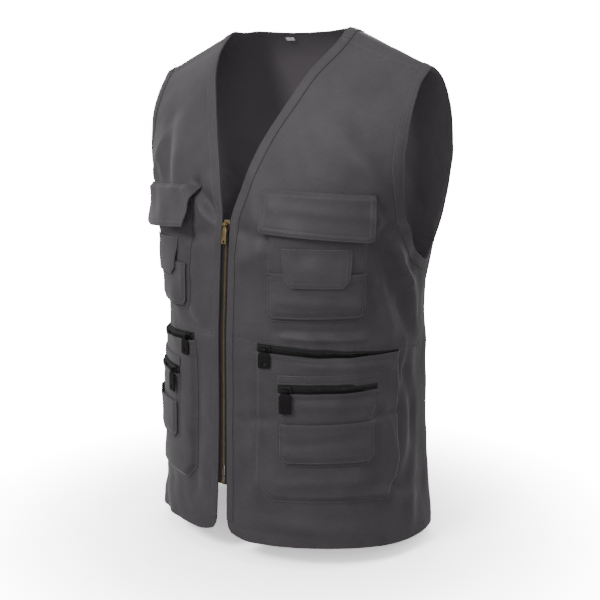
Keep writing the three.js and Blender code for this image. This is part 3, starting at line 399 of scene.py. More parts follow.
SEAM_TURN_GAP = SIDE_GAP / 2 / 260 * 1.2
EDGE_STEPS = np.array([0, 0.25, 0.6, 1.0, 1.5, 2.0, 2.6, 3.4, 4.6, 6.0, 7.2, 8.0, 8.8, 10.4, 12.4,
                       14.6])


def graded(length, step, first=False, last=False):
    """Places from 0 to a length, close together beside an end that is a turned edge and even
    between the ends."""
    head = EDGE_STEPS[EDGE_STEPS < length / 2.2] if first else np.array([0.0])
    tail = length - (EDGE_STEPS[EDGE_STEPS < length / 2.2][::-1] if last else np.array([0.0]))
    count = max(2, int(round((tail[0] - head[-1]) / step)))
    return np.concatenate([head, np.linspace(head[-1], tail[0], count + 1)[1:-1], tail])


def shares(length, step):
    """Graded places as shares of a length, from 0 to 1."""
    return graded(length, step, True, True) / length


def turned_edge(distance, thick):
    """Height of a turned edge over the layer below: a quarter ellipse out of nothing at the rim."""
    share = np.clip(distance / (0.6 * thick), 0, 1)
    return thick * np.sqrt(1 - (1 - share) ** 2)


def seam_groove(distance, at, deep, half=0.55):
    """A sewn line pulls the cloth into a groove with a bell-shaped section."""
    return -deep * np.exp(-((distance - at) / half) ** 2)


def puckers(along, distance, at, high, wave=6.5):
    """Small ripples beside a sewn line: a sine along it that dies away across it."""
    ripple = np.sin(2 * np.pi * along / wave) + 0.6 * np.sin(2 * np.pi * along / (wave * 1.7) + 1)
    return high * ripple * np.exp(-((distance - at) / 3.2) ** 2)


def new_piece(name, points, faces):
    """Puts points and faces, given as whole arrays, into a smooth-shaded mesh."""
    mesh = bpy.data.meshes.new(name)
    mesh.from_pydata(points.tolist(), [], faces.tolist())
    mesh.polygons.foreach_set("use_smooth", np.ones(len(mesh.polygons), bool))
    mesh.update()
    piece = bpy.data.objects.new(name, mesh)
    bpy.context.scene.collection.objects.link(piece)
    return piece


def squares(index):
    """The four corners of every square in a grid of corner numbers."""
    corners = [index[:-1, :-1], index[:-1, 1:], index[1:, 1:], index[1:, :-1]]
    return np.stack(corners, -1).reshape(-1, 4)


def cloth_mesh(name, outer, inner, reach, height, edge, loop=False):
    """A closed skin of cloth: a grid for the outside and one for the inside that share their
    rims. Each corner keeps its place along the cloth for the weave and its distance from the
    nearest edge, both in millimetres, and whether it lies on the inside."""
    rows, columns = outer.shape[:2]
    top = np.arange(rows * columns).reshape(rows, columns)
    rim = np.zeros((rows, columns), bool)
    rim[:, 0] = rim[:, -1] = True
    if not loop:
        rim[0] = rim[-1] = True
    under = np.where(rim, top, top + rows * columns)
    if loop:
        top, under = np.vstack([top, top[:1]]), np.vstack([under, under[:1]])
    faces = np.concatenate([squares(top), squares(under[:, ::-1])])
    points = np.concatenate([outer.reshape(-1, 3), inner.reshape(-1, 3)]) * 0.001
    used, order = np.unique(faces, return_inverse=True)
    faces, points = order.reshape(-1, 4), points[used]
    a, b, c, d = (points[faces[:, k]] for k in range(4))
    if np.sum(np.cross(c - a, d - b) * (a + b + c + d)) < 0:
        faces = faces[:, ::-1]
    piece = new_piece(name, points, faces)
    reach, height, edge = np.broadcast_arrays(reach, height, edge)
    place = np.stack([reach, height, np.zeros_like(reach)], -1).reshape(-1, 3)
    place = np.concatenate([place, place])[used]
    edges = np.concatenate([edge.ravel(), edge.ravel()])[used]
    inside = np.repeat([0.0, 1.0], rows * columns)[used]
    for label, kind, key, values in (("weave", "FLOAT_VECTOR", "vector", place.ravel()),
                                     ("edge", "FLOAT", "value", edges),
                                     ("inside", "FLOAT", "value", inside)):
        piece.data.attributes.new(label, kind, "POINT").data.foreach_set(key, values)
    return piece


def panel_cloth(name, side, station, turn, lift, reach, height, edge):
    """A panel of the vest: its outside at its lift, its inside one thickness of cloth below the
    smooth form."""
    outer = skin(side, station, turn, lift)
    inner = skin(side, station, turn, -CLOTH + 0 * lift)
    return cloth_mesh(name, outer, inner, reach * side, height, edge)


def studs(name, middle, along, out, half, around=6, rings=3, power=1.0):
    """Many small rounded pegs: on each place a superellipsoid with its long axis along the given
    direction. Rings of corners run between two end points, whole arrays at once."""
    turn = np.linspace(0, 2 * np.pi, around, endpoint=False)
    lean = np.linspace(-np.pi / 2, np.pi / 2, rings + 2)[1:-1]
    bend = lambda v: np.sign(v) * np.abs(v) ** power
    u = np.repeat(bend(np.sin(lean)), around)
    r = np.repeat(np.abs(np.cos(lean)) ** power, around)
    v, w = r * np.tile(bend(np.cos(turn)), rings), r * np.tile(bend(np.sin(turn)), rings)
    unit = np.concatenate([[[-1, 0, 0]], np.stack([u, v, w], -1), [[1, 0, 0]]]) * np.array(half)
    third = np.cross(out, along)
    axes = np.stack([along, out, third], 1)
    points = middle[:, None, :] + np.einsum("ka,nab->nkb", unit, axes)
    k = np.arange(around)
    k2 = (k + 1) % around
    first = np.stack([np.zeros_like(k), 1 + k2, 1 + k], -1)
    last = np.stack([np.full_like(k, 1 + rings * around), 1 + (rings - 1) * around + k,
                     1 + (rings - 1) * around + k2], -1)
    bands = [np.stack([1 + i * around + k, 1 + i * around + k2, 1 + (i + 1) * around + k2,
                       1 + (i + 1) * around + k], -1) for i in range(rings - 1)]
    quads = np.concatenate(bands)
    tris = np.concatenate([first, last, quads[:, [0, 1, 2]], quads[:, [0, 2, 3]]])
    size = len(unit)
    faces = (tris[None] + np.arange(len(middle))[:, None, None] * size).reshape(-1, 3)
    p = points.reshape(-1, 3) * 0.001
    sample = points[0][tris] - points[0].mean(0)
    if np.sum(np.cross(sample[:, 0], sample[:, 1]) * sample[:, 2]) < 0:
        faces = faces[:, ::-1]
    return new_piece(name, p, faces)


STITCH, STITCH_PITCH = (1.15, 0.24, 0.3), 3.1


def running_length(points):
    """Length along a row of points, from the first one to each of them."""
    return np.concatenate([[0], np.cumsum(np.linalg.norm(np.diff(points, axis=0), axis=1))])


def square_to(along, out):
    """The part of the second direction that is square to the first one, made one long."""
    return direction(out - along * np.sum(out * along, 1, keepdims=True))


def stitch_row(side, station, turn, lift):
    """Even steps along a line on the cloth: the middle, direction and outward normal of each
    stitch, read off the line's running length."""
    station, turn, lift = np.broadcast_arrays(station, turn, lift)
    run = running_length(skin(side, station, turn, lift))
    count = max(2, int(run[-1] / STITCH_PITCH))
    def at(share):
        place = share * run[-1] / count
        return [np.interp(place, run, value) for value in (station, turn, lift)]
    k = np.arange(count)
    middle = at(k + 0.5)
    along = direction(skin(side, *at(k + 0.85)) - skin(side, *at(k + 0.15)))
    out = body_normal(middle[0], middle[1] * side)
    return skin(side, *middle), along, square_to(along, out)


def sewn(name, rows):
    """All the stitches of some sewn lines in one mesh of thread."""
    middle, along, out = (np.concatenate(part) for part in zip(*rows))
    return wear(studs(name, middle, along, out, STITCH), THREAD, "cloth")


def node_adder(tree):
    """Adds a node with its settings and puts values or links into its inputs."""
    def add(kind, inputs=(), **settings):
        node = tree.nodes.new(kind)
        for key, value in settings.items():
            setattr(node, key, value)
        for key, value in dict(inputs).items():
            if isinstance(value, bpy.types.NodeSocket):
                tree.links.new(value, node.inputs[key])
            else:
                node.inputs[key].default_value = value
        return node
    return add


def blank_material(name):
    """A new material, its empty node tree and the function that adds nodes to it."""
    material = bpy.data.materials.new(name)
    material.use_nodes = True
    material.node_tree.nodes.clear()
    return material, material.node_tree, node_adder(material.node_tree)


def node_group(name, inputs, outputs):
    """An empty shader node group with named sockets."""
    tree = bpy.data.node_groups.new(name, "ShaderNodeTree")
    for label, kind in inputs:
        tree.interface.new_socket(label, in_out="INPUT", socket_type="NodeSocket" + kind)
    for label in outputs:
        tree.interface.new_socket(label, in_out="OUTPUT", socket_type="NodeSocketFloat")
    add = node_adder(tree)
    return tree, add, add("NodeGroupInput").outputs, add("NodeGroupOutput").inputs


def twill_group():
    """Woven twill from the place along the cloth in millimetres: slanting ribs of warp crossed by
    finer weft. It puts out the height of the threads and a fleck that varies from yarn to yarn."""
    tree, add, given, put = node_group(
        "Twill Weave", [("Place", "Vector"), ("Ribs", "Float")], ("Height", "Fleck"))
    parts = add("ShaderNodeSeparateXYZ", {0: given["Place"]})
    x, z = parts.outputs[0], parts.outputs[1]
    def calc(operation, a, b=0.0, c=0.0):
        return add("ShaderNodeMath", {0: a, 1: b, 2: c}, operation=operation).outputs[0]
    slant = calc("MULTIPLY_ADD", x, 0.8, z)
    rib = calc("SINE", calc("MULTIPLY", calc("MULTIPLY", slant, given["Ribs"]), 2 * math.pi))
    weft = calc("SINE", calc("MULTIPLY", calc("SUBTRACT", x, z), 2 * math.pi * 1.9))
    yarn = add("ShaderNodeTexNoise", {"Vector": given["Place"], "Scale": 1.3, "Detail": 3.0,
                                      "Roughness": 0.7})
    body = calc("MULTIPLY_ADD", rib, 0.3, calc("MULTIPLY", weft, 0.12))
    tree.links.new(calc("MULTIPLY_ADD", yarn.outputs[0], 0.7, body), put["Height"])
    drawn = add("ShaderNodeVectorMath", {0: given["Place"], 1: (2.2, 0.25, 1.0)},
                operation="MULTIPLY")
    fleck = add("ShaderNodeTexNoise", {"Vector": drawn.outputs[0], "Scale": 1.0, "Detail": 2.0})
    tree.links.new(fleck.outputs[0], put["Fleck"])
    return tree


def edge_highlight_group():
    """Painted highlight along the edges, where light catches the turned rims, with a little
    rubbing: from the distance to the edge in millimetres, strongest at the edge, gone a little
    way in and broken up by noise. It puts out a mask from 0 to 1."""
    tree, add, given, put = node_group(
        "Painted Edge Highlight", [("Edge", "Float"), ("Place", "Vector"), ("Reach", "Float")], ("Mask",))
    near = add("ShaderNodeMapRange", {"Value": given["Edge"], "From Min": 0.0,
                                      "From Max": given["Reach"], "To Min": 1.0, "To Max": 0.0})
    broken = add("ShaderNodeTexNoise", {"Vector": given["Place"], "Scale": 0.22, "Detail": 4.0})
    mask = add("ShaderNodeMath", {0: near.outputs[0], 1: broken.outputs[0]}, operation="MULTIPLY")
    tree.links.new(mask.outputs[0], put["Mask"])
    return tree


TWILL, EDGE_HIGHLIGHT = twill_group(), edge_highlight_group()
INSIDE_PAINTED_LIGHT = 2.2  # painted light: inside drawn this much paler, for light reaching it
EDGE_HIGHLIGHT_REACH, EDGE_HIGHLIGHT_PALER, EDGE_HIGHLIGHT_SHARE = 2.4, 1.7, 0.45  # painted highlight, width in mm, shade and strength


def cloth_material(name, deep, light, ribs=0.85, roughness=0.62, sheen=0.22, bump=0.3):
    """Twill cloth: two near shades mottled over a hand's width and from yarn to yarn, an inside
    painted paler for the light that reaches it, a painted highlight along the edges with a
    little rubbing, and the threads as bump."""
    material, tree, add = blank_material(name)
    def read(label, output):
        node = add("ShaderNodeAttribute", attribute_name=label, attribute_type="GEOMETRY")
        return node.outputs[output]
    place, edge = read("weave", "Vector"), read("edge", "Fac")
    weave = add("ShaderNodeGroup", {}, node_tree=TWILL)
    tree.links.new(place, weave.inputs["Place"])
    weave.inputs["Ribs"].default_value = ribs
    mottle = add("ShaderNodeTexNoise", {"Vector": place, "Scale": 0.021, "Detail": 4.0,
                                        "Roughness": 0.6})
    shade = add("ShaderNodeMath", {0: mottle.outputs[0], 1: weave.outputs["Fleck"]},
                operation="ADD")
    shade = add("ShaderNodeMapRange", {"Value": shade.outputs[0], "From Min": 0.75,
                                       "From Max": 1.25})
    base = add("ShaderNodeMix", {0: shade.outputs[0], 6: (*deep, 1), 7: (*light, 1)},
               data_type="RGBA")
    # painted light: the inside of the cloth is drawn paler, standing in for light that reaches it
    pale = tuple(min(1, v * INSIDE_PAINTED_LIGHT) for v in light)
    base = add("ShaderNodeMix", {0: read("inside", "Fac"), 6: base.outputs[2], 7: (*pale, 1)},
               data_type="RGBA")
    # painted highlight along the edges where light catches them, with a little rubbing
    edge_highlight = add("ShaderNodeGroup", {}, node_tree=EDGE_HIGHLIGHT)
    tree.links.new(edge, edge_highlight.inputs["Edge"])
    tree.links.new(place, edge_highlight.inputs["Place"])
    edge_highlight.inputs["Reach"].default_value = EDGE_HIGHLIGHT_REACH
    # shade of the painted edge highlight
    worn = tuple(min(1, v * EDGE_HIGHLIGHT_PALER) for v in light)
    share = add("ShaderNodeMath", {0: edge_highlight.outputs["Mask"], 1: EDGE_HIGHLIGHT_SHARE},
                operation="MULTIPLY")
    colour = add("ShaderNodeMix", {0: share.outputs[0], 6: base.outputs[2], 7: (*worn, 1)},
                 data_type="RGBA")
    threads = add("ShaderNodeBump", {"Strength": bump, "Distance": 0.00015,
                                     "Height": weave.outputs["Height"]})
    surface = add("ShaderNodeBsdfPrincipled", {
        "Base Color": colour.outputs[2], "Roughness": roughness, "Sheen Weight": sheen,
        "Sheen Roughness": 0.45, "Sheen Tint": (0.9, 0.88, 0.9, 1), "Specular IOR Level": 0.36,
        "Normal": threads.outputs[0]})
    out = add("ShaderNodeOutputMaterial")
    tree.links.new(surface.outputs[0], out.inputs[0])
    return material


CHARCOAL = cloth_material("charcoal twill", (0.0375, 0.0332, 0.0373), (0.0545, 0.0484, 0.0542))
THREAD = cloth_material("charcoal thread", (0.036, 0.033, 0.036), (0.054, 0.0495, 0.0535), bump=0.1)


def wear(piece, material, slot, *nodes, body="vest"):
    """Gives a piece its material, its body and the plain solids that it stands for. Its slot is not
    used.
    """
    piece.data.materials.append(material)
    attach(piece, body)
    if nodes:
        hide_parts(*nodes)
    return piece


SEAM_AT_NECK, SEAM_AT_TIP = 22, 10  # shoulder seam in front of the crest
CREST_CENTRE = float(section("centre", float(CREST)))
NECK_STATION = float(np.interp(CREST_CENTRE + BACK_NECK_DEPTH,
                               section("centre", BACK_STATIONS[:1400]), BACK_STATIONS[:1400]))


def shoulder_seam(share, gap=0.0):
    """The station of the shoulder seam. Its distance in front of the crest goes from the neck's
    to the tip's with the square of the share."""
    stations = np.linspace(CREST - 3, CREST, 301)
    ahead = SEAM_AT_NECK + (SEAM_AT_TIP - SEAM_AT_NECK) * np.asarray(share, float) ** 2 + gap
    return np.interp(CREST_CENTRE - ahead, section("centre", stations), stations)


def back_panel():
    """Lines run up the cloth from even places along the hem. Their upper ends are spread along
    the shoulder seams, down the neck's sides and round the back neck, and between hem and top
    each line eases from one place to the other."""
    corner, crest_share, seam_span = 0.46, 0.84, 230
    half = np.concatenate([np.linspace(0, corner, 27),
                           1 - graded((1 - corner) * seam_span, 4.4, True)[::-1][1:] / seam_span])
    q = np.concatenate([-half[:0:-1], half])
    away, side = np.abs(q), np.where(q < 0, -1, 1)
    seam_share = np.clip((away - corner) / (1 - corner), 0, 1)
    t = np.clip(away / corner, 0, 1)
    angle = np.minimum(t / crest_share, 1) * np.pi / 2
    neck_x = NECK_WIDTH / 2 * np.sin(angle) ** (2 / NECK_CURVE)
    deep = np.maximum(np.cos(angle), 0) ** (2 / NECK_CURVE)
    over = np.clip((t - crest_share) / (1 - crest_share), 0, 1)
    top = CREST + (NECK_STATION - CREST) * deep + (shoulder_seam(0, -SEAM_GAP / 2) - CREST) * over
    edge_x = np.where(over > 0, section("neck", np.minimum(top, CREST)), neck_x)
    top = np.where(away >= corner, shoulder_seam(seam_share, -SEAM_GAP / 2), top)
    first = turn_at_x(top, section("neck", np.minimum(top, CREST))) / arm_turn(top)
    top_share = np.where(away >= corner, first + (1 - first) * seam_share,
                         turn_at_x(top, edge_x) / arm_turn(top))
    stations = np.linspace(CREST - 3, LAST, 700)
    run = running_length(body_point(stations, MID_TURN))
    hem_run, top_run = np.interp(LAST, stations, run), np.interp(top, stations, run)
    length = hem_run - top_run
    r = shares(700, 4.8)[:, None]
    station = np.interp(hem_run - length * r, run, stations)
    share = away + (top_share - away) * smooth(r, 0.4, 1.0)
    limit = arm_turn(station) - np.where(station >= BACK_UNDERARM, SEAM_TURN_GAP, 0)
    turn = share * limit * side
    reach = reach_at(station, turn)
    hem, crown = r * length, (1 - r) * length
    arm = (1 - share) * np.abs(reach_at(station, limit))
    seam = np.where(station >= BACK_UNDERARM, arm, FAR)
    edge = reduce(np.minimum, (hem, crown, arm))
    lift = (turned_edge(edge, CLOTH) - CLOTH + seam_groove(hem, HEM_STITCH, 0.35)
            + puckers(reach, hem, 10, 0.16) + puckers(hem, seam, 4, 0.22)
            + seam_groove(arm, 15, 0.2))
    return panel_cloth("back_cloth", 1, station, turn, lift, reach, section("level", station), edge)


back_cloth = wear(back_panel(), CHARCOAL, "cloth", "back_panel")
hem_turns = np.linspace(-0.93, 0.93, 400)
hem_station = back_station(-BODY_LENGTH + HEM_STITCH + 0 * hem_turns)
back_thread = sewn("back_hem_thread", [stitch_row(1, hem_station, hem_turns, -0.28)])

# Front upper panels, left and right. Each is one piece of the same twill from the waist seam to
# the shoulder seam, cut away at the neck and the armhole and sewn to the back at the side.
WAIST_DEPTH, WAIST_DIP = 398, 25
PANEL_STEP = 4.2  # spacing of the front panels' corners
HANDS = (("left", 1), ("right", -1))  # the wearer's hands, and the side of the middle plane


def waist_height(turn):
    """The waist seam falls from the centre to the side with a power of the turn."""
    return -WAIST_DEPTH - WAIST_DIP * (np.abs(turn) / SIDE_SEAM) ** 1.3


def front_upper(name, side):
    """Rows run from the neck or front edge to the side seam or armhole, and climb from the waist
    seam to the shoulder seam."""
    across = shares(250, PANEL_STEP)[None, :]
    r = shares(395, PANEL_STEP)[:, None]
    start = front_station(waist_height(across * SIDE_SEAM) + SEAM_GAP / 2)
    end = shoulder_seam(across, SEAM_GAP / 2)
    stations = np.linspace(0, CREST, 500)
    run = running_length(body_point(stations, MID_TURN))
    low, high = np.interp(start, stations, run), np.interp(end, stations, run)
    station = np.interp(low + (high - low) * r, run, stations)
    first = turn_at_x(station, section("neck", station))
    last = arm_turn(station) - np.where(station < UNDERARM + 0.01, SEAM_TURN_GAP, 0)
    turn = first + (last - first) * across
    reach = reach_at(station, turn)
    wide = reach_at(station, last) - reach_at(station, first)
    waist, crown = r * (high - low), (1 - r) * (high - low)
    neck, arm = across * wide, (1 - across) * wide
    edge = reduce(np.minimum, (waist, crown, neck, arm))
    seam = np.where(station < UNDERARM, arm, FAR)
    lift = (turned_edge(edge, CLOTH) - CLOTH + puckers(reach, waist, 4, 0.25)
            + puckers(waist, seam, 4, 0.25) + puckers(reach, crown, 4, 0.2)
            + seam_groove(waist, 2.2, 0.25))
    return panel_cloth(name, side, station, turn, lift, reach, section("level", station), edge)


for hand, side in HANDS:
    panel = wear(front_upper("front_upper_cloth_" + hand, side), CHARCOAL, "cloth",
                 "front_upper_" + hand)
    share = np.linspace(0.05, 0.97, 200)
    seam = shoulder_seam(share, 2.6)
    first = turn_at_x(seam, section("neck", seam))
    shoulder_row = stitch_row(side, seam, first + (arm_turn(seam) - first) * share, 0.03)
    waist_turns = np.linspace(0.06, SIDE_SEAM - 0.01, 200)
    waist_row = stitch_row(side, front_station(waist_height(waist_turns) + 2.4), waist_turns, -0.1)
    thread = sewn("front_seam_thread_" + hand, [shoulder_row, waist_row])

# Front lower panels, left and right. Each hangs from the waist seam to the hem, with a rounded
# corner beside the zip and the hem turned up and sewn.
HEM_CORNER = 24


def corner_rise(distance):
    """How far a rounded corner rises at a distance from the edge: a quarter circle."""
    inside = np.maximum(0, HEM_CORNER - distance)
    return HEM_CORNER - np.sqrt(HEM_CORNER ** 2 - inside ** 2)


def front_lower(name, side):
    """Rows run from the front edge to the side seam and climb from the hem to the waist seam. The
    grid's corner lies in the middle of the hem's rounded corner."""
    across = shares(285, PANEL_STEP)[None, :]
    r = shares(262, PANEL_STEP)[:, None]
    neck = float(section("neck", 0.0))
    hem_reach = float(reach_at(0.0, SIDE_SEAM))
    edge_reach = neck + (1 - math.sqrt(0.5)) * HEM_CORNER * (1 - across) ** 6
    distance = edge_reach - neck + across * (hem_reach - edge_reach)
    bottom = -BODY_LENGTH + corner_rise(distance)
    top = waist_height(across * SIDE_SEAM) - SEAM_GAP / 2
    height = bottom + (top - bottom) * r
    station = front_station(height)
    first = section("neck", station) + corner_rise(height + BODY_LENGTH)
    last = reach_at(station, SIDE_SEAM - SEAM_TURN_GAP)
    reach = first + (last - first) * across
    turn = turn_at(station, reach)
    hem, waist = height - bottom, top - height
    arm, front = last - reach, reach - first
    edge = reduce(np.minimum, (hem, waist, front, arm))
    lift = (turned_edge(edge, CLOTH) - CLOTH + seam_groove(hem, HEM_STITCH, 0.35)
            + puckers(reach, hem, 10, 0.18) + puckers(height, arm, 4, 0.25)
            + puckers(reach, waist, 4, 0.2))
    return panel_cloth(name, side, station, turn, lift, reach, height, edge)


def front_row(side, reach, height, lift):
    """A sewn line given by places on the front."""
    reach, height, lift = np.broadcast_arrays(np.asarray(reach, float), np.asarray(height, float),
                                              lift)
    station = front_station(height)
    return stitch_row(side, station, turn_at(station, reach), lift)


for hand, side in HANDS:
    panel = wear(front_lower("front_lower_cloth_" + hand, side), CHARCOAL, "cloth",
                 "front_lower_" + hand)
    places = np.linspace(26, float(reach_at(0.3, SIDE_SEAM)) - 2, 300)
    hem_row = front_row(side, places, -BODY_LENGTH + HEM_STITCH, -0.28)
    thread = sewn("front_hem_thread_" + hand, [hem_row])

# Strips along the edges. Bias-cut strips of the same twill bind the V neck and front edges, the
# back neck and the armholes, turned in on both sides and sewn down with two lines of stitches.
BAND_WIDTH, EDGE_BAND_WIDTH, BAND_STAND = 14, 10.5, 0.2
INNER_ROW, OUTER_ROW = 2.2, 2.0  # sewn lines, from the cloth's own edge and from the other side


def nearest(station, turn, target):
    """Slides along the surface to the point nearest a target: five steps of Newton's rule on the
    surface's two directions."""
    step = 0.002
    s, t = np.array(station, float), np.array(turn, float)
    for _ in range(5):
        here = body_point(s, t)
        by_s = (body_point(s + step, t) - here) / step
        by_t = (body_point(s, t + step) - here) / step
        away = target - here
        a, b, d, p, q = (np.sum(u * v, -1) for u, v in (
            (by_s, by_s), (by_s, by_t), (by_t, by_t), (by_s, away), (by_t, away)))
        divisor = a * d - b * b
        s, t = s + (p * d - q * b) / divisor, t + (q * a - p * b) / divisor
    return s, t


def strip_places(station, turn, width, steps, inward, loop=False):
    """From an edge of the body, places a given way into the cloth: square to the edge, then slid
    onto the surface. Returns stations and turns, one row for each point of the edge, and the
    running length of the edge."""
    point = body_point(station, turn)
    if loop:
        along = np.roll(point, -1, 0) - np.roll(point, 1, 0)
    else:
        along = np.gradient(point, axis=0)
    along /= np.linalg.norm(along, axis=1, keepdims=True)
    across = np.cross(body_normal(station, turn), along) * inward
    way = np.asarray(steps)[None, :] * np.asarray(width).reshape(-1, 1)
    target = point[:, None, :] + across[:, None, :] * way[..., None]
    s, t = nearest(station[:, None] + 0 * way, turn[:, None] + 0 * way, target)
    return s, t, way, running_length(point)[:, None] + 0 * way


def strip(name, side, station, turn, width, inward, loop=False):
    """A strip of cloth over an edge: rounded along both sides, pulled in at two sewn lines, a
    little puckered between them, and wrapped round the cloth's own edge."""
    steps = np.concatenate([[-0.03], shares(BAND_WIDTH, 1.6)[1:]])
    s, t, way, run = strip_places(station, turn, width, steps, inward, loop)
    inside = np.maximum(way, 0)
    other = np.maximum(np.asarray(width).reshape(-1, 1) - way, 0)
    edge = np.minimum(inside, other)
    wrap = np.where(way < 1.2, (CLOTH + BAND_STAND) * (1 - turned_edge(inside, 1.6) / 1.6), 0)
    lift = (BAND_STAND + turned_edge(other, 0.95) - wrap + seam_groove(inside, INNER_ROW, 0.3)
            + seam_groove(other, OUTER_ROW, 0.3) + puckers(run, edge, 4, 0.14, 5.3))
    outer = skin(side, s, t, lift)
    inner = skin(side, s, t, np.minimum(lift, BAND_STAND - 0.12 - wrap))
    return cloth_mesh(name, outer, inner, run, way + 40, edge, loop)


def strip_rows(side, station, turn, width, inward, loop=False):
    """Two sewn lines along a strip, one by each edge."""
    width = np.asarray(width) + 0 * station
    rows = []
    for steps in (INNER_ROW / width, 1 - OUTER_ROW / width):
        s, t = (value[:, 0] for value in strip_places(
            station, turn, width * steps, [1.0], inward, loop)[:2])
        rows.append(stitch_row(side, s, t, BAND_STAND + 0.78))
    return rows


front_stations = np.linspace(float(front_station(-BODY_LENGTH + HEM_CORNER)),
                             float(shoulder_seam(0, SEAM_GAP / 2)), 260)
front_turns = turn_at_x(front_stations, section("neck", front_stations))
front_widths = EDGE_BAND_WIDTH + (BAND_WIDTH - EDGE_BAND_WIDTH) * smooth(
    front_stations, UNDERARM, UNDERARM + 2)
share = np.linspace(0, 1, 150)
arm_front = UNDERARM + (CREST - UNDERARM) * share ** 1.4
arm_back = CREST + (BACK_UNDERARM - CREST) * (1 - (1 - share) ** 1.4)
arm_stations = np.concatenate([arm_front[:-1], arm_back[:-1]])
arm_turns = arm_turn(arm_stations)
for hand, side in HANDS:
    band = strip("front_strip_" + hand, side, front_stations, front_turns, front_widths, -1)
    wear(band, CHARCOAL, "cloth", "front_band_" + hand)
    thread = sewn("front_strip_thread_" + hand,
                  strip_rows(side, front_stations, front_turns, front_widths, -1))
    band = strip("armhole_strip_" + hand, side, arm_stations, arm_turns, BAND_WIDTH, 1, True)
    wear(band, CHARCOAL, "cloth", "armhole_band_" + hand)
    thread = sewn("armhole_strip_thread_" + hand,
                  strip_rows(side, arm_stations, arm_turns, BAND_WIDTH, 1, True))

angle = np.linspace(-1, 1, 141)
over = np.maximum(np.abs(angle) - 0.86, 0) / 0.14
bend = np.minimum(np.abs(angle) / 0.86, 1) * np.pi / 2
neck_stations = (CREST + (NECK_STATION - CREST) * np.maximum(np.cos(bend), 0) ** (2 / NECK_CURVE)
                 + (float(shoulder_seam(0, -SEAM_GAP / 2)) - CREST) * over)
neck_places = np.where(over > 0, section("neck", np.minimum(neck_stations, CREST)),
                       NECK_WIDTH / 2 * np.sin(bend) ** (2 / NECK_CURVE))
neck_turns = turn_at_x(neck_stations, neck_places * np.sign(angle))
band = strip("back_neck_strip", 1, neck_stations, neck_turns, BAND_WIDTH, 1)
wear(band, CHARCOAL, "cloth", "back_neck_band")
thread = sewn("back_neck_strip_thread", strip_rows(1, neck_stations, neck_turns, BAND_WIDTH, 1))

# Chest pockets, left and right. A patch pocket of one layer of twill, its edges turned under and
# sewn round three sides, with a slip pocket sewn onto its lower part.
LAYER_GAP, POCKET_CLOTH, POCKET_RISE, SLIP_RISE = 0.35, 1.0, 3.2, 1.6
CHEST_START, CHEST_WIDTH, CHEST_TOP, CHEST_BOTTOM, CHEST_CORNER = 61, 135, 216, 372, 10
SLIP_INSET, SLIP_TOP, SLIP_CORNER = 5, 309, 0.8
CHEST_STAND = LAYER_GAP + POCKET_CLOTH + POCKET_RISE


def front_cloth(name, side, reach, height, lift, thick, floor, edge):
    """A layer of cloth on the front: an outer grid at its lift and an inner one its thickness
    below, but never under the layer that it lies on."""
    station = front_station(height)
    turn = turn_at(station, reach)
    outer = skin(side, station, turn, lift)
    inner = skin(side, station, turn, np.maximum(lift - thick, np.minimum(lift, floor)))
    return cloth_mesh(name, outer, inner, reach * side, height, edge)


def pocket_grid(start, width, bottom, top, corner, step=3.4):
    """Places over a pocket whose lower corners are cut off straight: reach, height, distance from
    the sewn sides and bottom, and distance below the mouth. Top may follow a curve of reach."""
    s = graded(width, step, True, True)[None, :]
    near = np.minimum(s, width - s)
    cut = np.maximum(0, corner - near)
    upper = (top(start + s) if callable(top) else top) + 0 * s
    tall = float(np.max(upper - bottom))
    r = shares(tall, step)[:, None]
    height = bottom + cut + (upper - bottom - cut) * r
    rise = height - bottom
    cut_edge = np.maximum(near + rise - corner, 0) / math.sqrt(2)
    sewn_edge = reduce(np.minimum, (near, rise, cut_edge))
    return start + s + 0 * height, height, sewn_edge, upper - height


def pocket_lift(base, rise, sewn_edge, mouth, along, hem=8.0):
    """Height over the cloth below: a turned edge, a groove at the sewn line, a slow rise to the
    pocket's full stand, and a folded hem with its sewn line below the mouth."""
    lift = base + LAYER_GAP * 0.5 + turned_edge(np.minimum(sewn_edge, mouth + 0.4), POCKET_CLOTH)
    lift = lift + rise * smooth(sewn_edge, 2.4, 9) + seam_groove(sewn_edge, 2.0, 0.32)
    lift = lift + puckers(along, sewn_edge, 4.2, 0.28)
    lift = lift + 0.55 * (1 - smooth(mouth, hem - 1.2, hem + 0.6))
    return lift + seam_groove(mouth, hem - 0.8, 0.3) + puckers(along, mouth, hem, 0.15)


def pocket(name, side, base, rise, start, width, bottom, top, corner, sag=0.0, hem=8.0, worn=(0, 0),
           lap=0.0):
    """One patch pocket; sag lets its middle stand further off, as an empty pocket does, and lap
    lifts its mouth over a tape."""
    reach, height, sewn_edge, mouth = pocket_grid(start, width, bottom, top, corner)
    along = np.where(height - bottom < 12, reach, height)
    across = (reach - start) / width
    tall = np.max(height) - bottom
    lift = pocket_lift(base, rise, sewn_edge, mouth, along, hem)
    up = (height - bottom) / tall
    belly = np.sin(np.pi * across) * (0.6 + 0.4 * np.sin(6 * up + 3 * across))
    lift = lift + sag * smooth(sewn_edge, 4, 30) * belly
    lift = lift + worn[0] * np.sin(across * 5.2 + up * 4 + worn[1]) * smooth(sewn_edge, 5, 24)
    edge = np.minimum(sewn_edge, mouth)
    over = lap * (1 - smooth(mouth, 4, 8)) * smooth(sewn_edge, 0, 2)
    return front_cloth(name, side, reach, height, lift + over, POCKET_CLOTH, base + 0.15 + over,
                       edge)


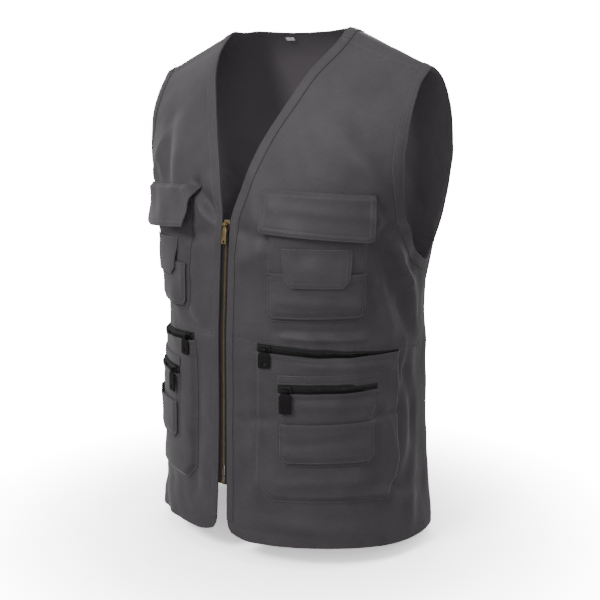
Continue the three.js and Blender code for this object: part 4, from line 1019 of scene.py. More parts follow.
def pocket_rows(side, base, start, width, bottom, top, corner, inset=2.0, hem=7.2, high=1.0,
                double=0.0, lap=0.0):
    """Sewn lines of a pocket: down one side, across the cut corners and up the other, the same
    again further in if asked for, and along the hem of the mouth."""
    rows = []
    for inner in (inset,) + ((double,) if double else ()):
        slant = corner - 0.59 * inner
        x = np.array([inner, inner, slant, width - slant, width - inner, width - inner])
        up = np.array([1e3, slant, inner, inner, slant, 1e3])
        run = np.concatenate([np.linspace(i, i + 1, 40)[:-1] for i in range(len(x) - 1)]
                             + [[len(x) - 1]])
        x = np.interp(run, np.arange(len(x)), x)
        limit = (top(start + x) if callable(top) else top + 0 * x) - 1.0
        up = np.interp(run, np.arange(len(up)), np.minimum(up, np.max(limit) - bottom))
        lift = base + LAYER_GAP * 0.5 + high - 0.12 + (0 if inner < 3 else POCKET_RISE * 0.75)
        rows.append(front_row(side, start + x, np.minimum(bottom + up, limit), lift))
    if hem:
        x = np.linspace(1.5, width - 1.5, 160)
        limit = (top(start + x) if callable(top) else top + 0 * x) - hem
        rise = SLIP_RISE * smooth(np.minimum(x, width - x), 2.4, 9)
        stand = lap + base + LAYER_GAP * 0.5 + high + 0.25 + rise
        rows.append(front_row(side, start + x, limit, stand))
    return rows


# Start, width, bottom, top and corner of the pocket and of the slip pocket on it
CHEST = (CHEST_START, CHEST_WIDTH, -CHEST_BOTTOM, -CHEST_TOP, CHEST_CORNER)
CHEST_SLIP = (CHEST_START + SLIP_INSET, CHEST_WIDTH - 2 * SLIP_INSET, -CHEST_BOTTOM + SLIP_INSET,
              -SLIP_TOP, CHEST_CORNER * SLIP_CORNER)
for hand, side in HANDS:
    piece = pocket("chest_pocket_cloth_" + hand, side, 0, POCKET_RISE, *CHEST, sag=0.8,
                   worn=(0.5, side))
    wear(piece, CHARCOAL, "cloth", "chest_pocket_" + hand)
    slip = pocket("chest_slip_cloth_" + hand, side, CHEST_STAND, SLIP_RISE, *CHEST_SLIP, sag=0.9,
                  worn=(0.4, side + 1))
    wear(slip, CHARCOAL, "cloth", "chest_slip_pocket_" + hand)
    rows = pocket_rows(side, 0, *CHEST, hem=0) + pocket_rows(side, CHEST_STAND, *CHEST_SLIP)
    thread = sewn("chest_pocket_thread_" + hand, rows)

# Chest flaps, left and right: two layers of twill turned out and topstitched, sewn along the top
# above the pocket and free below, where the outer corner has sprung away from the vest.
FLAP_START, FLAP_WIDTH, FLAP_TOP, FLAP_HEIGHT, FLAP_THICK, FLAP_SLOPE = 55, 141, 207, 54, 2.0, 7
FLAP_FOLD, FLAP_BASE = 0.127, CHEST_STAND + 3.8
FLARES = ((1.5, 8.0), (16.0, 7.0))  # left, then right: how far the inner and outer corner stand off
SMALL_START, SMALL_WIDTH, SMALL_TOP, SMALL_HEIGHT, SMALL_CORNER = 85, 87, 278, 49, 10
SMALL_EXTRA, SMALL_NARROWING, SMALL_SPRING = 0.45, 0.09, 1.1
SMALL_BASE = CHEST_STAND + LAYER_GAP + POCKET_CLOTH + SLIP_RISE


def chest_flap_lift(s, down, flare):
    """From the sewn top the flap steps onto the pocket, then springs out with a power of the way
    down, by one height at its inner corner and another at its outer one, and its free edge
    ripples a little."""
    on_pocket = smooth(down, 0, FLAP_FOLD)
    lift = (LAYER_GAP + FLAP_THICK) * (1 - on_pocket) + FLAP_BASE * on_pocket
    lift = lift + down ** 1.5 * (flare[0] + (flare[1] - flare[0]) * s / FLAP_WIDTH)
    return lift + 0.5 * down ** 2 * (1 + np.sin(s / 11 + 1))


def chest_flap(name, side, flare):
    """Places run across from the inner end and down to a free edge that slopes to the outer side;
    two sewn lines follow the edges."""
    s = graded(FLAP_WIDTH, 3.2, True, True)[None, :]
    r = shares(FLAP_HEIGHT, 2.8)[:, None]
    corner = 3.5 * np.maximum(0, 1 - (FLAP_WIDTH - s) / 7)
    bottom = -FLAP_TOP - FLAP_HEIGHT - FLAP_SLOPE * s / FLAP_WIDTH + corner
    height = bottom + (-FLAP_TOP - bottom) * r
    down = 1 - r + 0 * s
    side_edge = np.minimum(s, FLAP_WIDTH - s) + 0 * r
    free = height - bottom
    edge = np.minimum(side_edge, free)
    top = -FLAP_TOP - height
    turned = turned_edge(np.minimum(edge, top + 0.5), FLAP_THICK)
    lift = (chest_flap_lift(s, down, flare) - FLAP_THICK + turned
            + seam_groove(edge, 2.0, 0.35) + seam_groove(edge, 8.0, 0.3)
            + 0.35 * smooth(edge, 2.6, 4) * (1 - smooth(edge, 6, 7.6)) + puckers(s, free, 5, 0.2)
            + puckers(s, top, 3, 0.3))
    return front_cloth(name, side, FLAP_START + s + 0 * r, height, lift, FLAP_THICK, 0.2, edge)


def small_flap_lift(down):
    """Steps from the chest pocket onto the slip pocket, in millimetres below the sewn top."""
    base = CHEST_STAND + (SMALL_BASE - CHEST_STAND) * smooth(down, 4, SLIP_TOP - SMALL_TOP - 4)
    return base + LAYER_GAP + POCKET_CLOTH


def three_sides(inset, width, count):
    """A sewn line that goes down one side, across and up the other: how far across each place
    is, and how far up its side, from 0 to 1."""
    x = np.concatenate([np.full(30, inset), np.linspace(inset, width - inset, count),
                        np.full(30, width - inset)])
    rise = np.concatenate([np.linspace(1, 0, 30), np.zeros(count), np.linspace(0, 1, 30)])
    return x, rise


def small_flap(name, side):
    """A rounded-corner flap on the chest pocket that reaches down over the slip pocket's mouth."""
    reach, height, sewn_edge, top = pocket_grid(
        SMALL_START, SMALL_WIDTH, -SMALL_TOP - SMALL_HEIGHT, -SMALL_TOP, SMALL_CORNER, 2.8)
    edge = np.minimum(sewn_edge, top)
    middle = SMALL_START + SMALL_WIDTH / 2
    reach = middle + (reach - middle) * (1 - SMALL_NARROWING * smooth(top, 0, SMALL_HEIGHT))
    lift = (small_flap_lift(-SMALL_TOP - height) - POCKET_CLOTH
            + turned_edge(edge, POCKET_CLOTH + SMALL_EXTRA) + seam_groove(edge, 2.0, 0.3)
            + seam_groove(sewn_edge, 8, 0.25) + puckers(reach, edge, 4, 0.2)
            + SMALL_SPRING * smooth(-SMALL_TOP - height, 20, SMALL_HEIGHT))
    return front_cloth(name, side, reach, height, lift, POCKET_CLOTH, CHEST_STAND + 0.2, edge)


for (hand, side), flare in zip(HANDS, FLARES):
    flap = wear(chest_flap("chest_flap_cloth_" + hand, side, flare), CHARCOAL, "cloth",
                "chest_flap_" + hand)
    little = wear(small_flap("small_flap_cloth_" + hand, side), CHARCOAL, "cloth",
                  "small_flap_" + hand)
    rows = []
    for inset in (2.0, 8.0):
        x, rise = three_sides(inset, FLAP_WIDTH, 90)
        low = -FLAP_TOP - FLAP_HEIGHT - FLAP_SLOPE * x / FLAP_WIDTH + inset
        z = low + rise * (-FLAP_TOP - 3 - low)
        down = (-FLAP_TOP - z) / (FLAP_HEIGHT + FLAP_SLOPE * x / FLAP_WIDTH)
        rows.append(front_row(side, FLAP_START + x, z, chest_flap_lift(x, down, flare) - 0.2))
    x = np.linspace(2, FLAP_WIDTH - 2, 90)
    rows.append(front_row(side, FLAP_START + x, -FLAP_TOP - 2 + 0 * x,
                          chest_flap_lift(x, 2 / FLAP_HEIGHT + 0 * x, flare) - 0.1))
    thread = sewn("chest_flap_thread_" + hand, rows)
    x, rise = three_sides(2.0, SMALL_WIDTH, 60)
    cut = np.maximum(0, SMALL_CORNER - 1 - np.minimum(x, SMALL_WIDTH - x))
    z = -SMALL_TOP - SMALL_HEIGHT + 2 + cut + rise * (SMALL_HEIGHT - 6 - cut)
    lift = small_flap_lift(-SMALL_TOP - z) + 0.3 + SMALL_SPRING * smooth(-SMALL_TOP - z, 20,
                                                                         SMALL_HEIGHT)
    narrow = 1 - SMALL_NARROWING * smooth(-SMALL_TOP - z, 0, SMALL_HEIGHT)
    x = SMALL_WIDTH / 2 + (x - SMALL_WIDTH / 2) * narrow
    rows = [front_row(side, SMALL_START + x, z, lift)]
    thread = sewn("small_flap_thread_" + hand, rows)

# Pocket zips, left and right: black woven tape with a nylon coil down its middle, one in the waist
# seam over the mouth of the big pocket and a shorter one over the patch pocket.
COIL_TAPE, COIL_HALF, TAPE_THICK, COIL_PITCH = 12.4, 2.7, 0.9, 1.45
UPPER_ZIP_START, UPPER_ZIP_LENGTH, LOWER_ZIP_LENGTH = 53, 201, 129
BIG_RISE, PATCH_START, PATCH_TOP, PATCH_BAND = 3.8, 81, 440, 12
PATCH_BASE = LAYER_GAP * 1.5 + POCKET_CLOTH + BIG_RISE
PATCH_ZIP_TOP = PATCH_TOP + PATCH_BAND + LAYER_GAP
UPPER_ZIP_GAP = 0.55
UPPER_COIL_SHARE = 0.72  # of the upper zip's length; beyond it the tape runs under the seam
TAPE = cloth_material("black zip tape", (0.007, 0.007, 0.0075), (0.013, 0.013, 0.0135), ribs=1.3,
                      roughness=0.9, sheen=0.03, bump=0.25)


def waist_at(reach):
    """Height of the waist seam at a distance from centre front."""
    return waist_height(turn_at(float(front_station(-WAIST_DEPTH)), reach))


def upper_width(reach):
    """The upper tape runs under the seam towards its outer end, where less of it shows."""
    return COIL_TAPE * (1 - 0.7 * smooth((reach - UPPER_ZIP_START) / UPPER_ZIP_LENGTH, 0.35, 1))


def upper_middle(reach):
    """Height of the upper coil: half the shown tape below the waist seam."""
    return waist_at(reach) - UPPER_ZIP_GAP - upper_width(reach) / 2


def lower_middle(reach):
    """Height of the lower coil."""
    return -PATCH_ZIP_TOP - COIL_TAPE / 2 + 0 * reach


def zip_tape(name, side, start, length, middle, width, base):
    """A strip of tape along a line on the front, with thin turned ends and a low ridge for the
    coil's cord, and its own place along it for the weave."""
    s = graded(length, 2.6, True, True)[None, :]
    half = np.array([0, 0.15, 0.3, 0.42, 0.55, 0.7, 0.9, 0.97, 1])
    v = np.concatenate([-half[:0:-1], half])[:, None]
    reach = start + s + 0 * v
    across = v * width(reach) / 2
    edge = np.minimum(width(reach) / 2 - np.abs(across), np.minimum(s, length - s))
    ridge = 0.7 * np.sqrt(np.clip(1 - (across / COIL_HALF) ** 2, 0, 1))
    lift = base + 0.2 + turned_edge(edge, TAPE_THICK * 0.7) + ridge
    return front_cloth(name, side, reach, middle(reach) + across, lift, 0.6, base + 0.1, edge)


def coil(name, side, start, length, middle, base):
    """Loops of nylon, one side's between the other's: each a rounded peg across the coil, leaning
    a little, at an even pitch along it."""
    count = int((length - 4) / COIL_PITCH)
    k = np.arange(2 * count)
    s = start + 2 + (k + 0.5) * COIL_PITCH / 2
    hand = np.where(k % 2 == 0, 1, -1)
    z = middle(s) + hand * COIL_HALF * 0.42
    station = front_station(z)
    turn = turn_at(station, s)
    lift = base + TAPE_THICK * 0.7 + 1.1
    here = skin(side, station, turn, lift)
    station_up = front_station(z + 0.8)
    up = direction(skin(side, station_up, turn_at(station_up, s + 0.22 * hand), lift) - here)
    out = square_to(up, body_normal(station, turn * side))
    return studs(name, here, up, out, (COIL_HALF * 0.62, 0.62, 0.36), rings=3)


def plastic_material(name, colour, roughness, grain=900.0, bump=0.12, metallic=0.0, worn=0.5,
                     gloss=0.3):
    """Hard trim: a base colour broken up by fine grain, dull and shiny patches, and small dents
    as bump, all from Object coordinates."""
    material, tree, add = blank_material(name)
    place = add("ShaderNodeTexCoord").outputs["Object"]
    fine = add("ShaderNodeTexNoise", {"Vector": place, "Scale": grain, "Detail": 3.0,
                                      "Roughness": 0.65})
    patch = add("ShaderNodeTexNoise", {"Vector": place, "Scale": grain / 9, "Detail": 4.0})
    mix = add("ShaderNodeMath", {0: fine.outputs[0], 1: patch.outputs[0]}, operation="MULTIPLY")
    share = add("ShaderNodeMapRange", {"Value": mix.outputs[0], "From Min": 0.18, "From Max": 0.42})
    light = tuple(min(1, v * (1 + worn)) for v in colour)
    base = add("ShaderNodeMix", {0: share.outputs[0], 6: (*colour, 1), 7: (*light, 1)},
               data_type="RGBA")
    rough = add("ShaderNodeMapRange", {"Value": patch.outputs[0], "From Min": 0.3, "From Max": 0.7,
                                       "To Min": roughness - 0.08, "To Max": roughness + 0.12})
    dents = add("ShaderNodeBump", {"Strength": bump, "Distance": 0.0001, "Height": fine.outputs[0]})
    surface = add("ShaderNodeBsdfPrincipled", {"Base Color": base.outputs[2], "Metallic": metallic,
                                               "Roughness": rough.outputs[0],
                                               "Specular IOR Level": gloss,
                                               "Normal": dents.outputs[0]})
    out = add("ShaderNodeOutputMaterial")
    tree.links.new(surface.outputs[0], out.inputs[0])
    return material


COIL_NYLON = plastic_material("black coil nylon", (0.024, 0.024, 0.023), 0.36, grain=1500.0,
                              bump=0.05)
for hand, side in HANDS:
    tape = zip_tape("upper_tape_" + hand, side, UPPER_ZIP_START, UPPER_ZIP_LENGTH, upper_middle,
                    upper_width, 0)
    wear(tape, TAPE, "zip_tape", "upper_zip_" + hand)
    loops = coil("upper_coil_" + hand, side, UPPER_ZIP_START, UPPER_ZIP_LENGTH * UPPER_COIL_SHARE,
                 upper_middle, 0.2)
    wear(loops, COIL_NYLON, "zip_tape")
    tape = zip_tape("lower_tape_" + hand, side, PATCH_START + 1, LOWER_ZIP_LENGTH, lower_middle,
                    lambda reach: COIL_TAPE + 0 * reach, PATCH_BASE)
    wear(tape, TAPE, "zip_tape", "lower_zip_" + hand)
    loops = coil("lower_coil_" + hand, side, PATCH_START + 1, LOWER_ZIP_LENGTH, lower_middle,
                 PATCH_BASE + 0.2)
    wear(loops, COIL_NYLON, "zip_tape")

# Big lower pockets, left and right: wide patch pockets of the same twill, sewn twice round, whose
# mouth is the zip in the waist seam. Each carries a patch pocket with its own zip and slip pocket.
BIG_START, BIG_WIDTH, BIG_BOTTOM, BIG_CORNER = 49, 206, 610, 22
PATCH_WIDTH, PATCH_BOTTOM, PATCH_CORNER, PATCH_RISE = 131, 560, 11, 2.0
TAPE_LAP, LAP_RISE = 2.2, 1.1  # how far a mouth lies over its tape, and how much that lifts it
PATCH_MOUTH = PATCH_ZIP_TOP + COIL_TAPE + LAYER_GAP - TAPE_LAP
PATCH_SLIP_INSET, PATCH_SLIP_TOP = 4.6, 503
PATCH_STAND = PATCH_BASE + LAYER_GAP + POCKET_CLOTH + PATCH_RISE


def big_top(reach):
    """The big pocket's upper edge follows the lower edge of the upper tape and lies over it."""
    reach = np.asarray(reach, float)
    return waist_at(reach) - UPPER_ZIP_GAP - upper_width(reach) + TAPE_LAP


def patch_band(name, side):
    """The folded band above the patch pocket's zip, sewn down along its top and both ends."""
    s = graded(PATCH_WIDTH, 3.0, True, True)[None, :]
    r = graded(PATCH_BAND, 1.2, True, True)[:, None]
    edge = reduce(np.minimum, (s, PATCH_WIDTH - s, r, PATCH_BAND - r))
    lift = (PATCH_BASE + LAYER_GAP * 0.5 + turned_edge(edge, POCKET_CLOTH)
            + seam_groove(r, 2.4, 0.3) + seam_groove(PATCH_BAND - r, 2.2, 0.3)
            + puckers(s, r, 5, 0.2))
    height = -PATCH_TOP - PATCH_BAND + r + 0 * s
    return front_cloth(name, side, PATCH_START + s + 0 * r, height, lift, POCKET_CLOTH,
                       PATCH_BASE + 0.15, edge)


# Start, width, bottom, top and corner of each pocket
BIG = (BIG_START, BIG_WIDTH, -BIG_BOTTOM, big_top, BIG_CORNER)
PATCH = (PATCH_START, PATCH_WIDTH, -PATCH_BOTTOM, -PATCH_MOUTH, PATCH_CORNER)
PATCH_SLIP = (PATCH_START + PATCH_SLIP_INSET, PATCH_WIDTH - 2 * PATCH_SLIP_INSET,
              -PATCH_BOTTOM + PATCH_SLIP_INSET, -PATCH_SLIP_TOP, PATCH_CORNER * SLIP_CORNER)
for hand, side in HANDS:
    big = pocket("big_pocket_cloth_" + hand, side, 0, BIG_RISE, *BIG, sag=0.6, hem=2.8,
                 worn=(0.9, side), lap=LAP_RISE)
    wear(big, CHARCOAL, "cloth", "big_pocket_" + hand)
    fold = wear(patch_band("patch_band_cloth_" + hand, side), CHARCOAL, "cloth",
                "patch_band_" + hand)
    patch = pocket("patch_pocket_cloth_" + hand, side, PATCH_BASE, PATCH_RISE, *PATCH, sag=0.7,
                   hem=3.0, worn=(0.4, side), lap=LAP_RISE)
    wear(patch, CHARCOAL, "cloth", "patch_pocket_" + hand)
    slip = pocket("patch_slip_cloth_" + hand, side, PATCH_STAND, SLIP_RISE, *PATCH_SLIP, sag=0.8,
                  worn=(0.4, side + 2))
    wear(slip, CHARCOAL, "cloth", "patch_slip_pocket_" + hand)
    rows = pocket_rows(side, 0, *BIG, hem=2.2, double=8.0, lap=LAP_RISE)
    thread = sewn("big_pocket_thread_" + hand, rows)
    rows = pocket_rows(side, PATCH_BASE, *PATCH, hem=2.2, lap=LAP_RISE)
    rows += pocket_rows(side, PATCH_STAND, *PATCH_SLIP)
    x = np.linspace(2, PATCH_WIDTH - 2, 100)
    for r in (2.4, PATCH_BAND - 2.2):
        rows.append(front_row(side, PATCH_START + x, -PATCH_TOP - PATCH_BAND + r + 0 * x,
                              PATCH_BASE + 1.05))
    thread = sewn("patch_pocket_thread_" + hand, rows)

# Main zip: black tapes behind the two front edges with brass teeth clamped on, left and right by
# turns, from the bottom stop to the slider, which stands at the foot of the V.
CHAIN_HALF, TOOTH_PITCH, ZIP_FOOT, ZIP_TOP = 2.8, 1.95, 600, 247
TAPE_LIFT, MAIN_TAPE_THICK, MAIN_TAPE_WIDTH = -1.9, 0.7, 10
MAIN_SLIDER_LENGTH = 13
CHAIN_MIDDLE = TAPE_LIFT - MAIN_TAPE_THICK / 2
DULL_BRASS = plastic_material("dull brass teeth", (0.15, 0.118, 0.07), 0.5, grain=700.0, bump=0.15,
                              metallic=0.9, worn=0.4)
BRASS = plastic_material("aged brass", (0.17, 0.125, 0.066), 0.5, grain=700.0, bump=0.15,
                         metallic=0.95, worn=0.6)
CHAIN_TOP = ZIP_TOP + MAIN_SLIDER_LENGTH + LAYER_GAP


def main_tape(name, side):
    """A tape from beside the chain to behind the front panel, thin and flat, with a bead of cord
    along its inner edge for the teeth to grip."""
    r = graded(ZIP_FOOT - ZIP_TOP, 3.2, True, True)[:, None]
    across = graded(MAIN_TAPE_WIDTH + 1.6, 1.3, True, True)[None, :]
    station = front_station(-ZIP_FOOT + r)
    turn = turn_at_x(station, CHAIN_HALF - 1.3 + across)
    edge = reduce(np.minimum, (r, ZIP_FOOT - ZIP_TOP - r, across, MAIN_TAPE_WIDTH + 1.6 - across))
    lift = TAPE_LIFT - MAIN_TAPE_THICK + turned_edge(edge, MAIN_TAPE_THICK)
    lift = lift + 0.3 * np.exp(-((across - 1.2) / 0.8) ** 2)
    outer = skin(side, station, turn, lift)
    inner = skin(side, station, turn, np.minimum(lift, TAPE_LIFT - MAIN_TAPE_THICK + 0 * lift))
    return cloth_mesh(name, outer, inner, across * side + 0 * r, -ZIP_FOOT + r + 0 * across, edge)


def main_teeth():
    """Brass teeth at an even pitch, by turns from the left and the right tape: boxy pegs across
    the chain that reach past its middle. The last two are the bottom stop, longer and closed."""
    count = int((ZIP_FOOT - CHAIN_TOP - 6) / (TOOTH_PITCH / 2))
    k = np.arange(count)
    z = -ZIP_FOOT + 6 + (k + 0.5) * TOOTH_PITCH / 2
    hand = np.where(k % 2 == 0, 1, -1)
    station = front_station(z)
    middle = skin(1, station, 0 * z, CHAIN_MIDDLE)
    middle[:, 0] += hand * CHAIN_HALF * 0.26
    out = body_normal(station, 0 * z)
    across = np.zeros_like(out)
    across[:, 0] = 1
    teeth = studs("main_teeth", middle, across, out, (CHAIN_HALF * 0.6, 1.0, 0.42), around=8,
                  rings=4, power=0.45)
    stop_z = np.array([-ZIP_FOOT + 3.2])
    station = front_station(stop_z)
    stop = studs("main_zip_stop", skin(1, station, 0 * stop_z, CHAIN_MIDDLE),
                 np.array([[1.0, 0, 0]]), body_normal(station, 0 * stop_z), (CHAIN_HALF, 1.25, 3.0),
                 around=16, rings=7, power=0.4)
    return teeth, stop


for hand, side in HANDS:
    tape = wear(main_tape("main_tape_" + hand, side), TAPE, "zip_tape", "main_zip_tape_" + hand)
teeth, stop = main_teeth()
wear(teeth, DULL_BRASS, "brass", "main_zip_teeth")
wear(stop, BRASS, "brass")

# Sliders and pulls. The main slider is cast brass; the pocket sliders are black metal, each with a
# black tab that has a hole near its end. Every tab turns on a pin between two ears.
PIN, EYE_WALL, PIN_CLEAR = 0.9, 1.2, 0.5
EYE = PIN + PIN_CLEAR + EYE_WALL
PIN_STAND = EYE + LAYER_GAP
EAR_THICK, EAR_HEIGHT, EYE_WIDTH, EYE_PLAY = 1.3, 3.2, 5.0, 0.4
EAR_SPAN = EYE_WIDTH + 2 * (EYE_PLAY + EAR_THICK)
SLIDER_LENGTH, SLIDER_WIDTH, SLIDER_WALL = 15, 9.6, 1.2
TAB_WIDTH, TAB_THICK, TAB_HOLE, UPPER_TAB, LOWER_TAB = 16, 2.0, 2.4, 24, 30
MAIN_TAB, MAIN_TAB_WIDTH, MAIN_TAB_THICK = 25, 7.5, 1.6
MAIN_SLIDER_WIDTH, MAIN_PLATE, COIL_RISE = 10, 1.2, 1.4


def grid_faces(rows, columns, wrap_rows, wrap_columns):
    """Corner numbers of the quads of a grid, joined round where it wraps."""
    index = np.arange(rows * columns).reshape(rows, columns)
    if wrap_rows:
        index = np.vstack([index, index[:1]])
    if wrap_columns:
        index = np.hstack([index, index[:, :1]])
    return squares(index)


def pebble(centre, half, power, around=28, rings=15):
    """A closed superellipsoid: sines and cosines of two angles raised to a power, which makes a
    rounded box when the power is small. Returns corners and triangles."""
    turn = np.linspace(0, 2 * np.pi, around, endpoint=False)[None, :]
    lean = np.linspace(-np.pi / 2, np.pi / 2, rings + 2)[1:-1][:, None]
    bend = lambda v, e: np.sign(v) * np.abs(v) ** e
    ring = np.abs(np.cos(lean)) ** power[0]
    unit = np.stack([bend(np.sin(lean), power[0]) + 0 * turn, ring * bend(np.cos(turn), power[1]),
                     ring * bend(np.sin(turn), power[1])], -1).reshape(-1, 3)
    unit = np.concatenate([unit, [[-1, 0, 0], [1, 0, 0]]])
    quads = grid_faces(rings, around, False, True)
    k = np.arange(around)
    k2 = (k + 1) % around
    low, high = len(unit) - 2, len(unit) - 1
    tris = np.concatenate([quads[:, [0, 1, 2]], quads[:, [0, 2, 3]],
                           np.stack([0 * k + low, k2, k], -1),
                           np.stack([0 * k + high, (rings - 1) * around + k,
                                     (rings - 1) * around + k2], -1)])
    return unit * np.array(half) + np.array(centre), tris


# Outlines of a flat ring's section: 0 for the hole or 1 for the outer line, how far inside it,
# and the height as a share of half the thickness
TAB_RING = np.array([(0, 0, -0.55), (0, 0, 0.55), (0, 0.35, 0.95), (0, 0.7, 1.0), (0, 1.1, 0.8),
                     (1, 2.1, 0.62), (1, 1.6, 1.0), (1, 0.8, 1.0), (1, 0.3, 0.85), (1, 0, 0.5),
                     (1, 0, -0.5), (1, 0.3, -0.85), (1, 0.8, -1.0), (0, 0.7, -1.0),
                     (0, 0.35, -0.95)])
EYE_RING = np.array([(0, 0, -0.8), (0, 0, 0.8), (0, 0.3, 1.0), (1, 0.5, 1.0), (1, 0.15, 0.94),
                     (1, 0, 0.8), (1, 0, -0.8), (1, 0.15, -0.94), (1, 0.5, -1.0), (0, 0.3, -1.0)])


def ring_plate(hole, outline, profile, thick, around=64):
    """A plate with a round hole: for each direction from the hole's middle, a closed section that
    runs up the hole's wall, over the face to the outline and back. Columns of the profile say
    whether a corner is measured from the outline or the hole, how far in, and its height."""
    turn = np.linspace(0, 2 * np.pi, around, endpoint=False)
    reach = outline(turn)[:, None]
    far, inset, high = profile.T
    radius = np.where(far > 0, reach - inset, hole + inset)
    points = np.stack([radius * np.cos(turn)[:, None], high * thick / 2 + 0 * reach,
                       radius * np.sin(turn)[:, None]], -1)
    quads = grid_faces(around, len(profile), True, True)
    return points.reshape(-1, 3), np.concatenate([quads[:, [0, 1, 2]], quads[:, [0, 2, 3]]])


def round_outline(half_width, up, down, power=7.0):
    """Distance from a point to a rounded rectangle round it, by direction."""
    def outline(turn):
        tall = np.where(np.sin(turn) > 0, up, down)
        return (np.abs(np.cos(turn) / half_width) ** power
                + np.abs(np.sin(turn) / tall) ** power) ** (-1 / power)
    return outline


def hardware_frame(side, reach, height, lift):
    """Where a slider sits: the place of its pin, and axes across it, into the cloth and up it."""
    station = float(front_station(height))
    turn = float(turn_at(station, reach)) * side
    out = body_normal(station, turn)
    up = np.array([0.0, 0, 1]) - out * out[2]
    up = up / np.linalg.norm(up)
    return body_point(station, turn) + out * lift, np.stack([np.cross(-out, up), -out, up])


def hardware(name, place, parts):
    """Joins closed parts, given in the hardware's own axes, into one mesh where it sits."""
    origin, axes = place
    counts = np.cumsum([0] + [len(points) for points, _ in parts])
    points = np.concatenate([points for points, _ in parts]) @ axes + origin
    faces = []
    for first, (corners, tris) in zip(counts, parts):
        sample = corners[tris]
        volume = np.sum(np.cross(sample[:, 0], sample[:, 1]) * sample[:, 2])
        faces.append((tris if volume > 0 else tris[:, ::-1]) + first)
    return new_piece(name, points * 0.001, np.concatenate(faces))


def ears_and_pin():
    """Two rounded ears on the slider's plate and the pin between them."""
    foot, head = PIN_STAND + 0.3, -PIN - 0.5
    offset = (EAR_SPAN - EAR_THICK) / 2
    ears = [pebble((x, (foot + head) / 2, 0), (EAR_THICK / 2, (foot - head) / 2, EAR_HEIGHT / 2),
                   (0.25, 0.55)) for x in (-offset, offset)]
    return ears + [pebble((0, 0, 0), ((EAR_SPAN - EAR_THICK) / 2, PIN, PIN), (0.12, 1.0))]


def pull_parts(length, width, thick, hole):
    """Eye, neck and tab of a pull that hangs down from its pin."""
    eye, tris = ring_plate(PIN + PIN_CLEAR, lambda turn: EYE + 0 * turn, EYE_RING, EYE_WIDTH, 32)
    eye = eye[:, [1, 0, 2]]
    top = -EYE - 1
    centre = -length + width * 0.36
    tab, tab_tris = ring_plate(hole, round_outline(width / 2, top - centre, centre + length),
                               TAB_RING, thick)
    neck = pebble((0, 0, (top - EYE * 0.7) / 2 - 0.3), (EYE_WIDTH / 2, thick / 2, 1.9), (0.35, 0.4))
    return [(eye, tris), (tab + np.array([0, 0, centre]), tab_tris), neck]


BLACK_METAL = plastic_material("black slider metal", (0.016, 0.016, 0.017), 0.34, grain=500.0,
                               bump=0.08, metallic=0.55)
BLACK_TAB = plastic_material("black pull tab", (0.005, 0.005, 0.005), 0.6, grain=1200.0, bump=0.2,
                             gloss=0.18)
CHANNEL = TAPE_THICK + COIL_RISE + LAYER_GAP


def pocket_slider(name, place):
    """A plate over the coil, narrower at its closed end, with rounded flanges down both sides."""
    plate, tris = pebble((0, PIN_STAND + SLIDER_WALL / 2, 0),
                         (SLIDER_LENGTH / 2, SLIDER_WALL / 2, SLIDER_WIDTH / 2),
                         (0.35, 0.4), 36, 19)
    taper = 1 - 0.16 * smooth(plate[:, 0], -2, SLIDER_LENGTH / 2)
    plate = plate * np.stack([1 + 0 * taper, 1 + 0 * taper, taper], -1)
    offset = SLIDER_WIDTH / 2 - SLIDER_WALL / 2
    drop = CHANNEL - TAPE_THICK - LAYER_GAP
    flanges = [pebble((0, PIN_STAND + SLIDER_WALL + drop / 2 - 0.4, z),
                      (SLIDER_LENGTH / 2 - 0.3, drop / 2 + 0.5, SLIDER_WALL / 2), (0.2, 0.5))
               for z in (-offset, offset)]
    return hardware(name, place, [(plate, tris)] + flanges + ears_and_pin())


SLIDER_INSET = SLIDER_LENGTH / 2 + 4
for hand, side in HANDS:
    for level, reach, middle, base, length in (
            ("upper", UPPER_ZIP_START + SLIDER_INSET, upper_middle, 0, UPPER_TAB),
            ("lower", PATCH_START + SLIDER_INSET, lower_middle, PATCH_BASE, LOWER_TAB)):
        lift = base + LAYER_GAP + CHANNEL + SLIDER_WALL + PIN_STAND
        place = hardware_frame(side, reach, float(middle(reach)), lift)
        slider = pocket_slider(level + "_slider_metal_" + hand, place)
        wear(slider, BLACK_METAL, "black_metal", level + "_slider_" + hand)
        pull = pull_parts(length, TAB_WIDTH, TAB_THICK, TAB_HOLE)
        tab = hardware(level + "_tab_" + hand, place, pull)
        node = level + "_pull_" + hand
        wear(tab, BLACK_TAB, "black_tab", node, body=node)

MAIN_PLATE_LIFT = TAPE_LIFT + LAYER_GAP + MAIN_PLATE
BACK_PLATE_LIFT = TAPE_LIFT - MAIN_TAPE_THICK - 1.5 * LAYER_GAP
main_pin = MAIN_PLATE_LIFT + PIN_STAND
place = hardware_frame(1, 0.0, -ZIP_TOP - MAIN_SLIDER_LENGTH / 2, main_pin)
depth = main_pin - BACK_PLATE_LIFT
plates = []
for y in (PIN_STAND + MAIN_PLATE / 2, depth + MAIN_PLATE / 2):
    plate, tris = pebble((0, y, 0), (MAIN_SLIDER_WIDTH / 2, MAIN_PLATE / 2, MAIN_SLIDER_LENGTH / 2),
                         (0.4, 0.35), 36, 19)
    narrow = 1 - 0.3 * smooth(-plate[:, 2], -1, MAIN_SLIDER_LENGTH / 2)
    plates.append((plate * np.stack([narrow, 1 + 0 * narrow, 1 + 0 * narrow], -1), tris))
core = pebble((0, (depth + PIN_STAND + MAIN_PLATE) / 2, 2.5),
              (CHAIN_HALF * 0.8, (depth - PIN_STAND) / 2, 3.6), (0.4, 0.4))
main_slider = hardware("main_slider_metal", place, plates + [core] + ears_and_pin())
wear(main_slider, BRASS, "brass", "main_slider")
